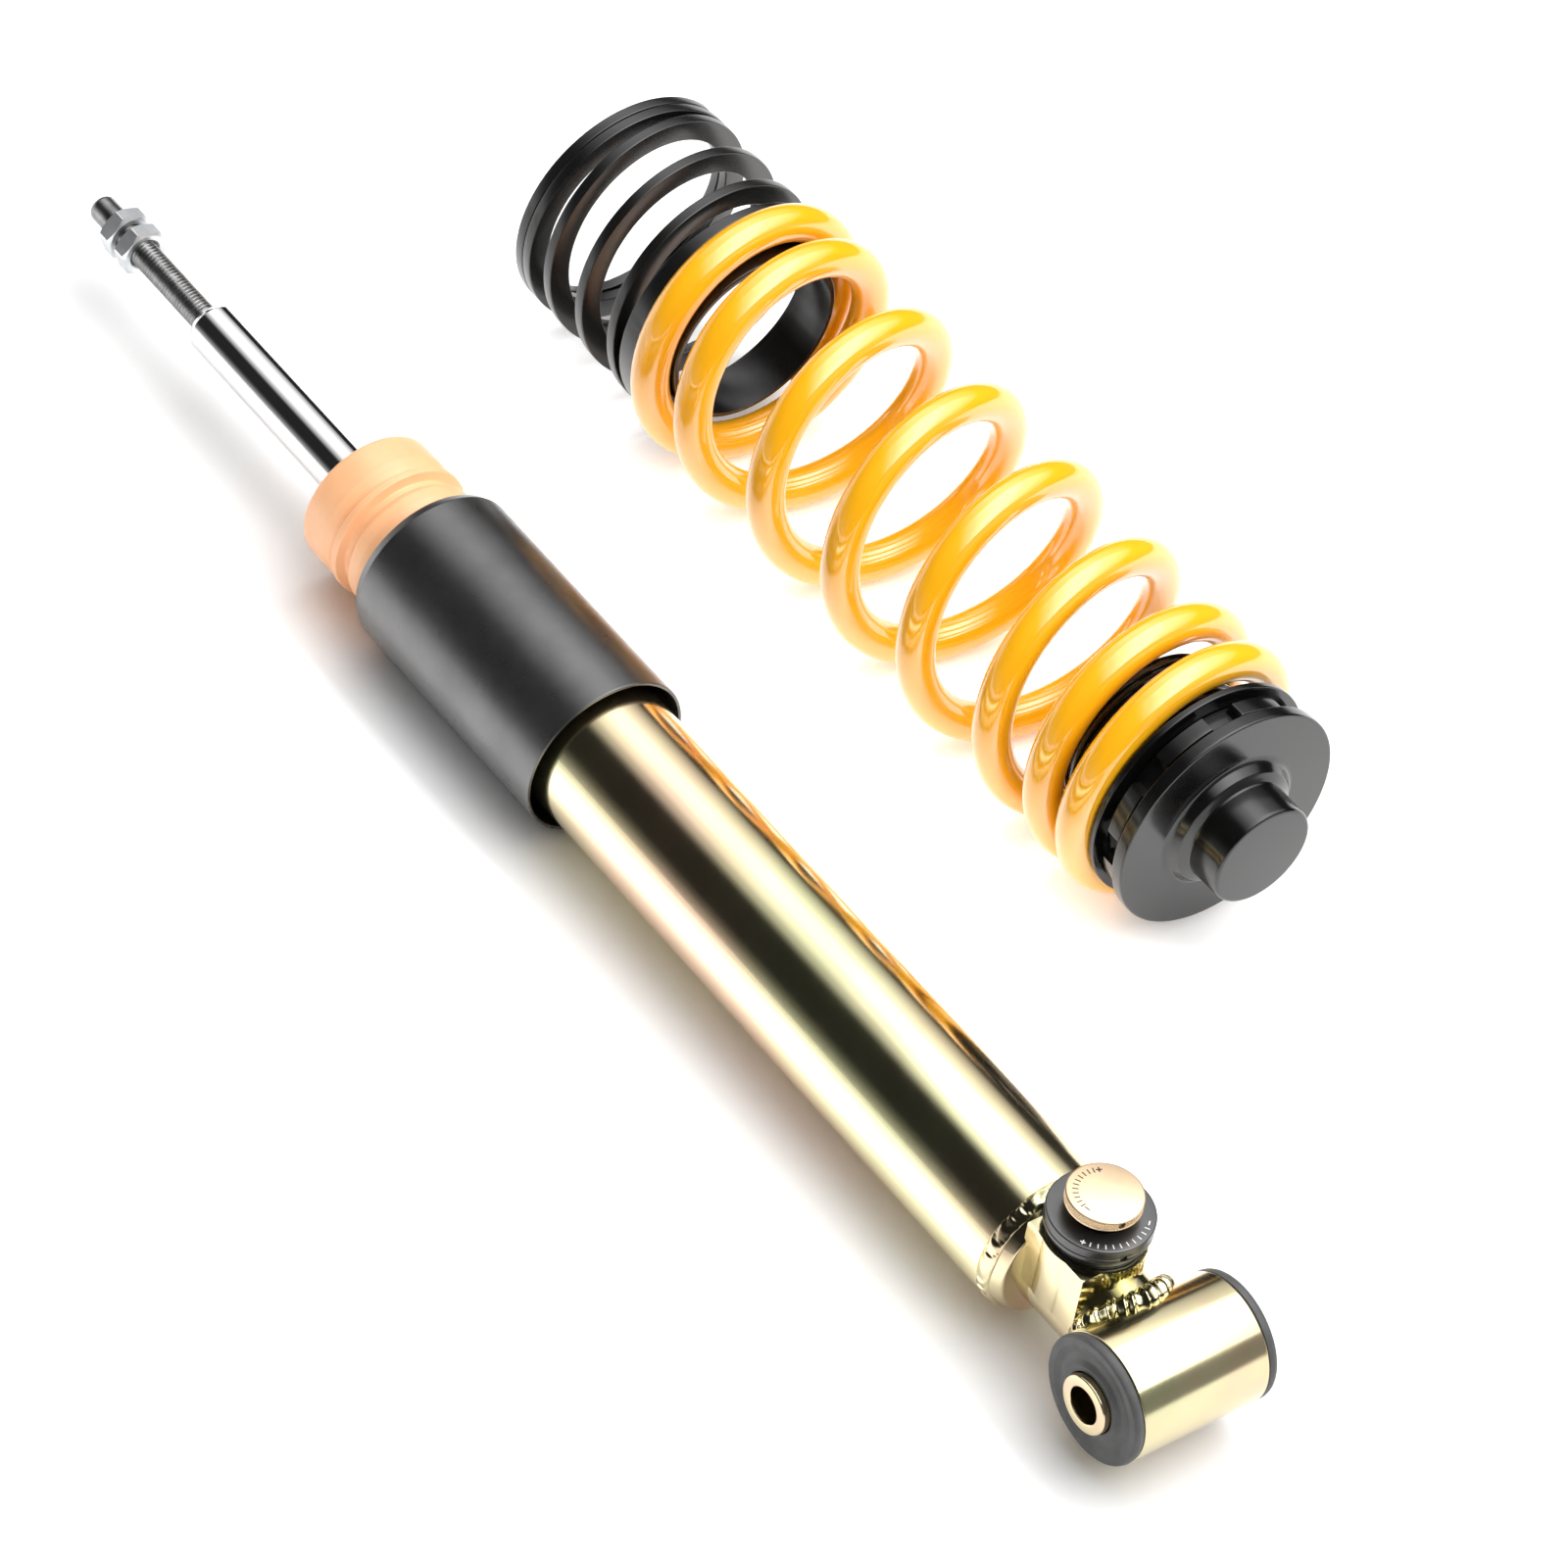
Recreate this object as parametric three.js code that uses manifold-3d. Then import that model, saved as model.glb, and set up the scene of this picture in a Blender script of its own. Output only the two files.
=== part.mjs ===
// Rear coilover kit laid out as two assemblies side by side: a damper with a welded eye and two
// compression adjusters, and a separate spring unit with a helper spring and a height-adjustable perch.
// Millimetres. Both axes run along X, with the damper's eye end towards +X. Lengths along X are
// measured from the centre of the damper's eye. +Z is up, and the adjuster knobs point up.

import * as THREE from 'three';
import { mergeVertices } from 'three/addons/utils/BufferGeometryUtils.js';
import Module from 'manifold-3d';

const wasm = await Module();
wasm.setup();

// ---------------------------------------------------------------- driving dimensions
const GAP = 0.3;                  // clearance left between pieces that touch

const TUBE_R = 25;                // outer tube
const TUBE_WALL = 2;
const TUBE_TOP = -372;
const TUBE_END = -58.7;
const PRESSURE_R = 16;            // inner pressure tube
const PRESSURE_WALL = 1.2;
const PRESSURE_END = -75;
const WELD_END = -54.1;
const CAP_FACE = -50;             // lower end cap

const ROD_R = 9;
const ROD_BORE_R = 3;
const ROD_SHOULDER = -517.5;
const STUD_R = 4.9;               // M10 stud
const ROD_TIP = -585.2;
const GUIDE_END = TUBE_TOP + 17;
const REBOUND_STOP_LENGTH = 8;
const PISTON_TOP = GUIDE_END + REBOUND_STOP_LENGTH + 5;
const PISTON_LENGTH = 14;

const NUT_FLATS = 16;             // thin M10 nut
const NUT_THICKNESS = 6.2;
const LOWER_NUT = -563.7;
const NUT_SPACING = 9.2;
const NUT_TURN = THREE.MathUtils.degToRad(50);

const STOP_R = 25;                // foam bump stop
const STOP_TOP = -424;
const STOP_END = -376;
const COVER_R = 29.6;             // dust cover
const COVER_WALL = 1.2;
const COVER_TOP = -388.5;
const COVER_END = -287.9;

const EYE_R = 21;                 // eye across the axis, along Y
const EYE_WALL = 3;
const EYE_HALF = 23.5;
const RUBBER_HALF = 27;
const SLEEVE_R = 9.7;
const SLEEVE_BORE_R = 6.1;
const SLEEVE_HALF = 30.2;

const NECK_R = 16;                // forged block between the end cap and the eye
const BLOCK_START = -49.5;
const BLOCK_END = -24.3;
const BLOCK_TOP = 22.6;
const SEAT_FLOOR = 17.6;
const KNOB_X = -38.4;             // adjuster axis, along Z
const HOUSING_R = 15;
const SEAT_RIM_R = 16.9;           // rim of the block round the adjuster housing
const HIGH_RING_R = 16.8;
const HIGH_RING_BASE = 26.5;
const HIGH_RING_TOP = 31.8;
const LOW_KNOB_R = 12;
const LOW_KNOB_BASE = 35.6;
const LOW_KNOB_TOP = 39.5;
const SPINDLE_R = 2.5;
const SET_SCREW_R = 1;

const SPRING_Y = 145.4;           // spring unit's axis
const SPRING_Z = 18.25;
const WIRE_R = 6.5;
const SPRING_MEAN_R = 41.35;
const SPRING_STEPS = 20;          // steps in a turn
const STRIP_THICK = 3.9;          // helper spring, flat wire
const STRIP_WIDTH = 8;
const HELPER_R = 43.15;
const HELPER_TOP = -489.6;
const HELPER_STEPS = 24;

const ADAPTER_R = 43;
const ADAPTER_BORE_R = 31;
const ADAPTER_SLEEVE_R = 33;
const ADAPTER_TOP = -429;
const ADAPTER_SEAT = -426.8;
const ADAPTER_END = -411.5;

const PERCH_SEAT = -174.1;        // ring that the spring stands on
const PERCH_RING_R = 41.6;
const PERCH_RING_THICK = 2.4;
const THREAD_R = 30.5;            // threaded neck of the perch
const THREAD_TOP = -204;
const COLLAR_END = -163.7;
const COLLAR_R = 39.2;
const COLLAR_ROOT_R = 35.5;
const COLLAR_SLOTS = 8;
const SLOT_WIDTH = 11.5;
const SLOT_TURN = THREE.MathUtils.degToRad(26.7);
const FLANGE_R = 41.9;
const FLANGE_TOP = -161.75;
const FLANGE_FACE = -157;
const BOSS_R = 19;
const BOSS_END = -138.5;

const FLOOR_Z = SPRING_Z - SPRING_MEAN_R - WIRE_R;

// ---------------------------------------------------------------- finishes
const finish = (color, roughness, metalness) => () =>
  new THREE.MeshStandardMaterial({ color, roughness, metalness });

const goldZinc = finish(0xd8c98e, 0.25, 1);
const chrome = finish(0xd4d6d8, 0.08, 1);
const zinc = finish(0xb9bcc0, 0.35, 1);
const darkSteel = finish(0x3b3b3a, 0.45, 1);
const blackAnodised = finish(0x1b1b1d, 0.42, 0.6);
const blackPlastic = finish(0x1a1a1b, 0.5, 0);
const springYellow = finish(0xf5a81c, 0.25, 0);
const foam = finish(0xffc48c, 0.8, 0);
const rubber = finish(0x56575a, 0.75, 0);

// ---------------------------------------------------------------- solids
// Drops the triangles that have no area once shared vertices are merged, and turns the faces out.
function closedSolid(source) {
  const bare = source.index ? source.toNonIndexed() : source;
  bare.deleteAttribute('normal');
  bare.deleteAttribute('uv');
  const merged = mergeVertices(bare, 1e-4);
  const position = merged.attributes.position;
  const corner = [new THREE.Vector3(), new THREE.Vector3(), new THREE.Vector3()];
  const kept = [];
  let volume = 0;
  for (let i = 0; i < merged.index.count; i += 3) {
    const ids = [0, 1, 2].map((k) => merged.index.getX(i + k));
    if (ids[0] === ids[1] || ids[1] === ids[2] || ids[2] === ids[0]) continue;
    ids.forEach((id, k) => corner[k].fromBufferAttribute(position, id));
    volume += corner[0].dot(corner[1].clone().cross(corner[2]));
    kept.push(ids);
  }
  if (volume < 0) kept.forEach((ids) => ids.reverse());
  merged.setIndex(kept.flat());
  return merged;
}

const AXIS_TURN = {
  x: (geometry) => geometry.rotateZ(-Math.PI / 2),
  y: (geometry) => geometry,
  z: (geometry) => geometry.rotateX(Math.PI / 2),
};

// A profile of [distance along the axis, radius] pairs, turned about an axis through the origin.
function turned(profile, segments, axis = 'x') {
  const points = profile.map(([along, radius]) => new THREE.Vector2(radius, along));
  const onAxis = profile[0][1] === 0 && profile.at(-1)[1] === 0;
  if (!onAxis) points.push(points[0].clone());
  return closedSolid(AXIS_TURN[axis](new THREE.LatheGeometry(points, segments)));
}

// A plain tube or ring.
const ring = (start, end, outer, inner, segments, axis = 'x') =>
  turned([[start, inner], [start, outer], [end, outer], [end, inner]], segments, axis);

// A plain rod.
const rod = (start, end, radius, segments, axis = 'x') =>
  turned([[start, 0], [start, radius], [end, radius], [end, 0]], segments, axis);

// A shape in the YZ plane pushed along X from start to end.
function pushedAlongX(shape, start, end) {
  const geometry = new THREE.ExtrudeGeometry(shape, {
    depth: end - start, bevelEnabled: false, curveSegments: 12,
  });
  geometry.applyMatrix4(new THREE.Matrix4().makeBasis(
    new THREE.Vector3(0, 1, 0), new THREE.Vector3(0, 0, 1), new THREE.Vector3(1, 0, 0)));
  return closedSolid(geometry.translate(start, 0, 0));
}

// Points of an arc in a profile, as [along, radius] pairs.
function arc(along, radius, size, fromDegrees, toDegrees, steps) {
  return Array.from({ length: steps + 1 }, (_, i) => {
    const angle = THREE.MathUtils.degToRad(fromDegrees + ((toDegrees - fromDegrees) * i) / steps);
    return [along + size * Math.cos(angle), radius + size * Math.sin(angle)];
  });
}

function toManifold(geometry) {
  return new wasm.Manifold(new wasm.Mesh({
    numProp: 3,
    vertProperties: new Float32Array(geometry.attributes.position.array),
    triVerts: new Uint32Array(geometry.index.array),
  }));
}

function fromManifold(solid) {
  const mesh = solid.getMesh();
  const geometry = new THREE.BufferGeometry();
  geometry.setAttribute('position', new THREE.BufferAttribute(mesh.vertProperties, 3));
  geometry.setIndex([...mesh.triVerts]);
  return closedSolid(geometry);
}

const joined = (...solids) =>
  fromManifold(solids.map(toManifold).reduce((whole, next) => whole.add(next)));

const cutBy = (solid, ...cutters) =>
  fromManifold(cutters.map(toManifold).reduce((whole, next) => whole.subtract(next), toManifold(solid)));

// ---------------------------------------------------------------- springs
// Distance along the axis as a coil turns, from its pitch at a few turn counts. Between two of
// them the pitch changes evenly. Turn 0 points along +Y, and a turn later the coil is back there.
function coilRise(knots, turn) {
  let rise = 0;
  for (let i = 1; i < knots.length; i += 1) {
    const [start, startPitch] = knots[i - 1];
    const [end, endPitch] = knots[i];
    if (turn <= start) break;
    const reach = Math.min(turn, end);
    const pitchThere = startPitch + ((endPitch - startPitch) * (reach - start)) / (end - start);
    rise += ((startPitch + pitchThere) / 2) * (reach - start);
  }
  return rise;
}

// A section of [radius, along] points carried round a coil and closed at both ends.
function coilSolid({ section, knots, base, firstTurn, lastTurn, steps }) {
  const count = Math.round((lastTurn - firstTurn) * steps);
  const sides = section.length;
  const vertices = [];
  for (let i = 0; i <= count; i += 1) {
    const turn = firstTurn + i / steps;
    const angle = turn * 2 * Math.PI;
    const along = base + coilRise(knots, turn);
    for (const [radius, offset] of section) {
      vertices.push(along + offset, radius * Math.cos(angle), radius * Math.sin(angle));
    }
  }
  const triangles = [];
  for (let i = 0; i < count; i += 1) {
    for (let k = 0; k < sides; k += 1) {
      const a = i * sides + k;
      const b = i * sides + ((k + 1) % sides);
      triangles.push(a, b, a + sides, b, b + sides, a + sides);
    }
  }
  for (let k = 1; k < sides - 1; k += 1) {
    const last = count * sides;
    triangles.push(0, k + 1, k, last, last + k, last + k + 1);
  }
  const geometry = new THREE.BufferGeometry();
  geometry.setAttribute('position', new THREE.Float32BufferAttribute(vertices, 3));
  geometry.setIndex(triangles);
  return closedSolid(geometry);
}

// The end turns lie 20 mm apart. The pitch of the working turns takes up the rest of the length.
const SPRING_FIRST_TURN = -0.15;
const SPRING_LAST_TURN = 7.7;
const END_PITCH = 20;
const springKnots = (bodyPitch) => [
  [0.13, 0], [0.25, END_PITCH], [1.13, END_PITCH], [1.47, bodyPitch],
  [5.35, bodyPitch], [6.3, END_PITCH], [7.31, END_PITCH], [7.45, 0],
];

const HELPER_FIRST_TURN = 0.13;
const HELPER_LAST_TURN = 5.1;
const CLOSED_PITCH = STRIP_THICK + GAP;
const CLOSED_RAMP = 0.19;         // half of the part turn in which the strip steps over its own tip
const helperKnots = (bodyPitch) => [
  [0.75, 0], [0.75 + CLOSED_RAMP, CLOSED_PITCH / CLOSED_RAMP], [0.75 + 2 * CLOSED_RAMP, 0],
  [1.5, 0], [2.2, bodyPitch], [4.58, bodyPitch], [4.78, 0],
];

// The body pitch that makes a coil rise by the given length. The rise is linear in the pitch.
function pitchFor(knotsOf, length, lastTurn) {
  const atZero = coilRise(knotsOf(0), lastTurn);
  const atOne = coilRise(knotsOf(1), lastTurn);
  return (length - atZero) / (atOne - atZero);
}

function mainSpring() {
  const base = ADAPTER_SEAT + GAP + WIRE_R;
  const length = PERCH_SEAT - GAP - WIRE_R - base;
  const pitch = pitchFor(springKnots, length, SPRING_LAST_TURN);
  const section = Array.from({ length: 8 }, (_, k) => {
    const angle = (k * Math.PI) / 4;
    return [SPRING_MEAN_R + WIRE_R * Math.cos(angle), WIRE_R * Math.sin(angle)];
  });
  return coilSolid({
    section, base, knots: springKnots(pitch), steps: SPRING_STEPS,
    firstTurn: SPRING_FIRST_TURN, lastTurn: SPRING_LAST_TURN,
  });
}

function helperSpring() {
  const base = HELPER_TOP + STRIP_THICK / 2;
  const length = ADAPTER_TOP - GAP - STRIP_THICK / 2 - base;
  const pitch = pitchFor(helperKnots, length, HELPER_LAST_TURN);
  const half = STRIP_THICK / 2;
  const inner = HELPER_R - STRIP_WIDTH;
  const section = [[inner, -half], [HELPER_R, -half], [HELPER_R, half], [inner, half]];
  return coilSolid({
    section, base, knots: helperKnots(pitch), steps: HELPER_STEPS,
    firstTurn: HELPER_FIRST_TURN, lastTurn: HELPER_LAST_TURN,
  });
}

// Wedge on the adapter's seat that follows the underside of the spring's end turn.
function seatWedge() {
  const steps = 14;
  const firstTurn = 0.16;
  const lastTurn = 0.62;
  const inner = ADAPTER_SLEEVE_R - 1;
  const vertices = [];
  const triangles = [];
  for (let i = 0; i <= steps; i += 1) {
    const turn = firstTurn + ((lastTurn - firstTurn) * i) / steps;
    const angle = turn * 2 * Math.PI;
    const top = ADAPTER_SEAT - 0.2 + coilRise(springKnots(END_PITCH * 2), turn);
    for (const [radius, along] of [
      [inner, ADAPTER_SEAT - 1], [ADAPTER_R - 0.5, ADAPTER_SEAT - 1],
      [ADAPTER_R - 0.5, top], [inner, top],
    ]) {
      vertices.push(along, radius * Math.cos(angle), radius * Math.sin(angle));
    }
  }
  for (let i = 0; i < steps; i += 1) {
    for (let k = 0; k < 4; k += 1) {
      const a = i * 4 + k;
      const b = i * 4 + ((k + 1) % 4);
      triangles.push(a, b, a + 4, b, b + 4, a + 4);
    }
  }
  const last = steps * 4;
  triangles.push(0, 2, 1, 0, 3, 2, last, last + 1, last + 2, last, last + 2, last + 3);
  const geometry = new THREE.BufferGeometry();
  geometry.setAttribute('position', new THREE.Float32BufferAttribute(vertices, 3));
  geometry.setIndex(triangles);
  return closedSolid(geometry);
}

// ---------------------------------------------------------------- damper
function hexNut(start, thickness, flats, boreRadius) {
  const corner = flats / 2 / Math.cos(Math.PI / 6);
  const shape = new THREE.Shape();
  for (let k = 0; k < 6; k += 1) {
    const angle = NUT_TURN + (k * Math.PI) / 3;
    const move = k === 0 ? 'moveTo' : 'lineTo';
    shape[move](corner * Math.cos(angle), corner * Math.sin(angle));
  }
  shape.closePath();
  const bore = new THREE.Path();
  bore.absarc(0, 0, boreRadius, 0, 2 * Math.PI, true);
  shape.holes.push(bore);
  return pushedAlongX(shape, start, start + thickness);
}

function pistonRod() {
  const tipBevel = 1.2;
  const shoulderBevel = 1;
  const end = PISTON_TOP + PISTON_LENGTH + 12;
  const neck = PISTON_TOP - GAP;
  return turned([
    [ROD_TIP, ROD_BORE_R], [ROD_TIP, STUD_R - tipBevel], [ROD_TIP + tipBevel, STUD_R],
    [ROD_SHOULDER, STUD_R], [ROD_SHOULDER, ROD_R - shoulderBevel],
    [ROD_SHOULDER + shoulderBevel * 2, ROD_R], [neck, ROD_R], [neck, 6], [end, 6], [end, ROD_BORE_R],
  ], 28);
}

function bumpStop() {
  return turned([
    [STOP_TOP, ROD_R + 0.5], [STOP_TOP, STOP_R - 1.5], [STOP_TOP + 1.5, STOP_R],
    [STOP_TOP + 13, STOP_R], [STOP_TOP + 16.5, STOP_R - 1.3], [STOP_TOP + 19, STOP_R + 0.6],
    [STOP_TOP + 22.5, STOP_R + 0.8], [STOP_TOP + 28, STOP_R - 1.6], [STOP_TOP + 35, STOP_R - 3],
    [STOP_END, 17], [STOP_END, ROD_R + 0.5],
  ], 32);
}

function dustCover() {
  const bevel = 2.3;
  const inner = COVER_R - COVER_WALL;
  const topBore = STOP_R - 2.6;
  return turned([
    [COVER_TOP, topBore], [COVER_TOP, COVER_R - bevel * 0.7], [COVER_TOP + bevel, COVER_R],
    [COVER_END, COVER_R], [COVER_END, inner], [COVER_TOP + 3, inner], [COVER_TOP + 3, topBore],
  ], 32);
}

// Plug in the end of the pressure tube, standing on the end cap.
function baseValve() {
  const fit = PRESSURE_R - PRESSURE_WALL - GAP;
  const foot = TUBE_END - 7 - GAP;
  return turned([
    [PRESSURE_END - 8, 0], [PRESSURE_END - 8, fit], [PRESSURE_END + GAP, fit],
    [PRESSURE_END + GAP, PRESSURE_R], [foot, PRESSURE_R], [foot, 0],
  ], 20);
}

// Recess for the adjuster housing, cut into everything it stands on.
const housingSeat = () =>
  rod(SEAT_FLOOR, BLOCK_TOP + 8, HOUSING_R + GAP, 28, 'z').translate(KNOB_X, 0, 0);

function endCap() {
  const fit = TUBE_R - TUBE_WALL - GAP;
  const cap = turned([
    [TUBE_END - 7, 0], [TUBE_END - 7, fit], [WELD_END + GAP, fit],
    [CAP_FACE - 0.8, 21.8], [CAP_FACE, 20.5], [CAP_FACE, 0],
  ], 32);
  return cutBy(cap, housingSeat());
}

function tubeWeld() {
  const inner = TUBE_R - TUBE_WALL;
  return turned([
    [TUBE_END + GAP, inner], [TUBE_END + GAP, TUBE_R - 0.3], [TUBE_END + 1.4, TUBE_R + 0.3],
    [WELD_END - 1.2, TUBE_R], [WELD_END, inner],
  ], 32);
}

// Upright sides and a round underside, from the end cap to the eye, with the adjuster's seat on top.
// Half of the block's end view: a flat side and top over a round underside.
function halfBlock(side) {
  const outline = new THREE.Shape();
  outline.moveTo(-side, BLOCK_TOP);
  outline.lineTo(side * NECK_R, BLOCK_TOP);
  outline.lineTo(side * NECK_R, 0);
  outline.absarc(0, 0, NECK_R, side < 0 ? Math.PI : 0, 1.5 * Math.PI, side > 0);
  outline.lineTo(-side, -NECK_R);
  outline.closePath();
  return outline;
}

function valveBlock() {
  const near = pushedAlongX(halfBlock(-1), BLOCK_START, BLOCK_END);
  const far = pushedAlongX(halfBlock(1), BLOCK_START, KNOB_X);
  const rim = rod(0, BLOCK_TOP, SEAT_RIM_R, 48, 'z').translate(KNOB_X, 0, 0);
  const neck = rod(BLOCK_START + 1, -8, NECK_R, 24);
  const well = rod(2, SEAT_FLOOR + 1, SPINDLE_R + 1.5, 16, 'z').translate(KNOB_X, 0, 0);
  const eye = rod(-40, 40, EYE_R + GAP, 32, 'y');
  const behind = rod(BLOCK_START - 8, BLOCK_START, 30, 24);
  return cutBy(joined(near, far, rim, neck), behind, housingSeat(), well, eye);
}

function bushRubber() {
  const body = EYE_R - EYE_WALL - 1.5 - GAP * 2;
  const lip = RUBBER_HALF - EYE_HALF - GAP;
  const half = [
    [EYE_HALF + GAP, body], [EYE_HALF + GAP, EYE_R - 0.6], [EYE_HALF + GAP + lip / 2, EYE_R - 0.1],
    [RUBBER_HALF, EYE_R - 0.6], [RUBBER_HALF, SLEEVE_R + 4], [RUBBER_HALF - 1.2, SLEEVE_R + GAP],
  ];
  const mirrored = half.map(([along, radius]) => [-along, radius]).reverse();
  return turned([...mirrored, ...half], 28, 'y');
}

function adjusterHousing() {
  const bore = SPINDLE_R + 2;
  const post = 8.5;
  return turned([
    [SEAT_FLOOR + GAP, bore], [SEAT_FLOOR + GAP, HOUSING_R - 0.8], [SEAT_FLOOR + 1.1, HOUSING_R],
    [HIGH_RING_BASE - GAP, HOUSING_R], [HIGH_RING_BASE - GAP, post],
    [LOW_KNOB_BASE - GAP, post], [LOW_KNOB_BASE - GAP, bore],
  ], 32, 'z').translate(KNOB_X, 0, 0);
}

function highSpeedRing() {
  const bevel = 0.6;
  const inner = 8.5 + GAP;
  const solid = turned([
    [HIGH_RING_BASE, inner], [HIGH_RING_BASE, HIGH_RING_R - bevel], [HIGH_RING_BASE + bevel, HIGH_RING_R],
    [HIGH_RING_TOP - bevel, HIGH_RING_R], [HIGH_RING_TOP, HIGH_RING_R - bevel], [HIGH_RING_TOP, inner],
  ], 32, 'z').translate(KNOB_X, 0, 0);
  return cutBy(solid, screwHole((HIGH_RING_BASE + HIGH_RING_TOP) / 2 - 1, HIGH_RING_R));
}

function lowSpeedKnob() {
  const bevel = 0.4;
  const solid = turned([
    [LOW_KNOB_BASE, SPINDLE_R + GAP], [LOW_KNOB_BASE, LOW_KNOB_R - bevel],
    [LOW_KNOB_BASE + bevel, LOW_KNOB_R], [LOW_KNOB_TOP - bevel, LOW_KNOB_R],
    [LOW_KNOB_TOP, LOW_KNOB_R - bevel], [LOW_KNOB_TOP, SPINDLE_R + GAP],
  ], 28, 'z').translate(KNOB_X, 0, 0);
  return cutBy(solid, screwHole((LOW_KNOB_BASE + LOW_KNOB_TOP) / 2, LOW_KNOB_R));
}

// Direction in which both knobs' set screws face.
const SCREW_DIRECTION = THREE.MathUtils.degToRad(-12);

// A radial cylinder at a knob's rim, from an inner to an outer radius.
function radialPeg(height, inner, outer, radius) {
  return closedSolid(rod(inner, outer, radius, 10)
    .rotateZ(SCREW_DIRECTION)
    .translate(KNOB_X, 0, height));
}

const screwHole = (height, rim) => radialPeg(height, rim - 3.5, rim + 2, SET_SCREW_R + GAP);

const setScrew = (height, rim) => radialPeg(height, rim - 3.2, rim - 0.8, SET_SCREW_R);

// ---------------------------------------------------------------- spring unit
function springAdapter() {
  const body = turned([
    [ADAPTER_TOP, ADAPTER_BORE_R], [ADAPTER_TOP, ADAPTER_R], [ADAPTER_SEAT, ADAPTER_R],
    [ADAPTER_SEAT, ADAPTER_SLEEVE_R], [ADAPTER_END - 1, ADAPTER_SLEEVE_R],
    [ADAPTER_END, ADAPTER_SLEEVE_R - 0.8], [ADAPTER_END, ADAPTER_BORE_R],
  ], 32);
  return joined(body, seatWedge());
}

// Notched collar that turns on the thread. A hook wrench fits its slots.
function perchCollar() {
  const start = PERCH_SEAT + PERCH_RING_THICK + GAP;
  const body = turned([
    [start, THREAD_R + GAP], [start, COLLAR_R], [COLLAR_END, COLLAR_R - 0.5], [COLLAR_END, THREAD_R + GAP],
  ], 32);
  const slots = Array.from({ length: COLLAR_SLOTS }, (_, k) => {
    const slot = new THREE.BoxGeometry(COLLAR_END - start + 2, SLOT_WIDTH, 12);
    slot.translate((COLLAR_END + start) / 2, 0, COLLAR_ROOT_R + 6);
    return closedSolid(slot.rotateX(((k + 0.5) * 2 * Math.PI) / COLLAR_SLOTS + SLOT_TURN));
  });
  return cutBy(body, ...slots);
}

function perchBase() {
  const bore = THREAD_R - 5.5;
  return turned([
    [THREAD_TOP, bore], [THREAD_TOP, THREAD_R - 1], [THREAD_TOP + 1, THREAD_R], [FLANGE_TOP, THREAD_R],
    [FLANGE_TOP, FLANGE_R], [FLANGE_FACE, FLANGE_R], [FLANGE_FACE, 26],
    ...arc(FLANGE_FACE + 3, 25.5, 3, 200, 270, 3), [-151.5, 21.3], [-150, 20],
    [-149, BOSS_R], ...arc(BOSS_END - 1.3, BOSS_R - 1.3, 1.3, 90, 0, 3), [BOSS_END, 0],
    [FLANGE_FACE - 2, 0], [FLANGE_FACE - 2, bore],
  ], 28);
}

// ---------------------------------------------------------------- assembly
function node(name, geometry, material) {
  const mesh = new THREE.Mesh(geometry, material());
  mesh.name = name;
  return mesh;
}

const capFit = TUBE_R - TUBE_WALL - GAP;
const pistonFit = PRESSURE_R - PRESSURE_WALL - GAP;
const upperNut = LOWER_NUT - NUT_SPACING;

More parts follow.
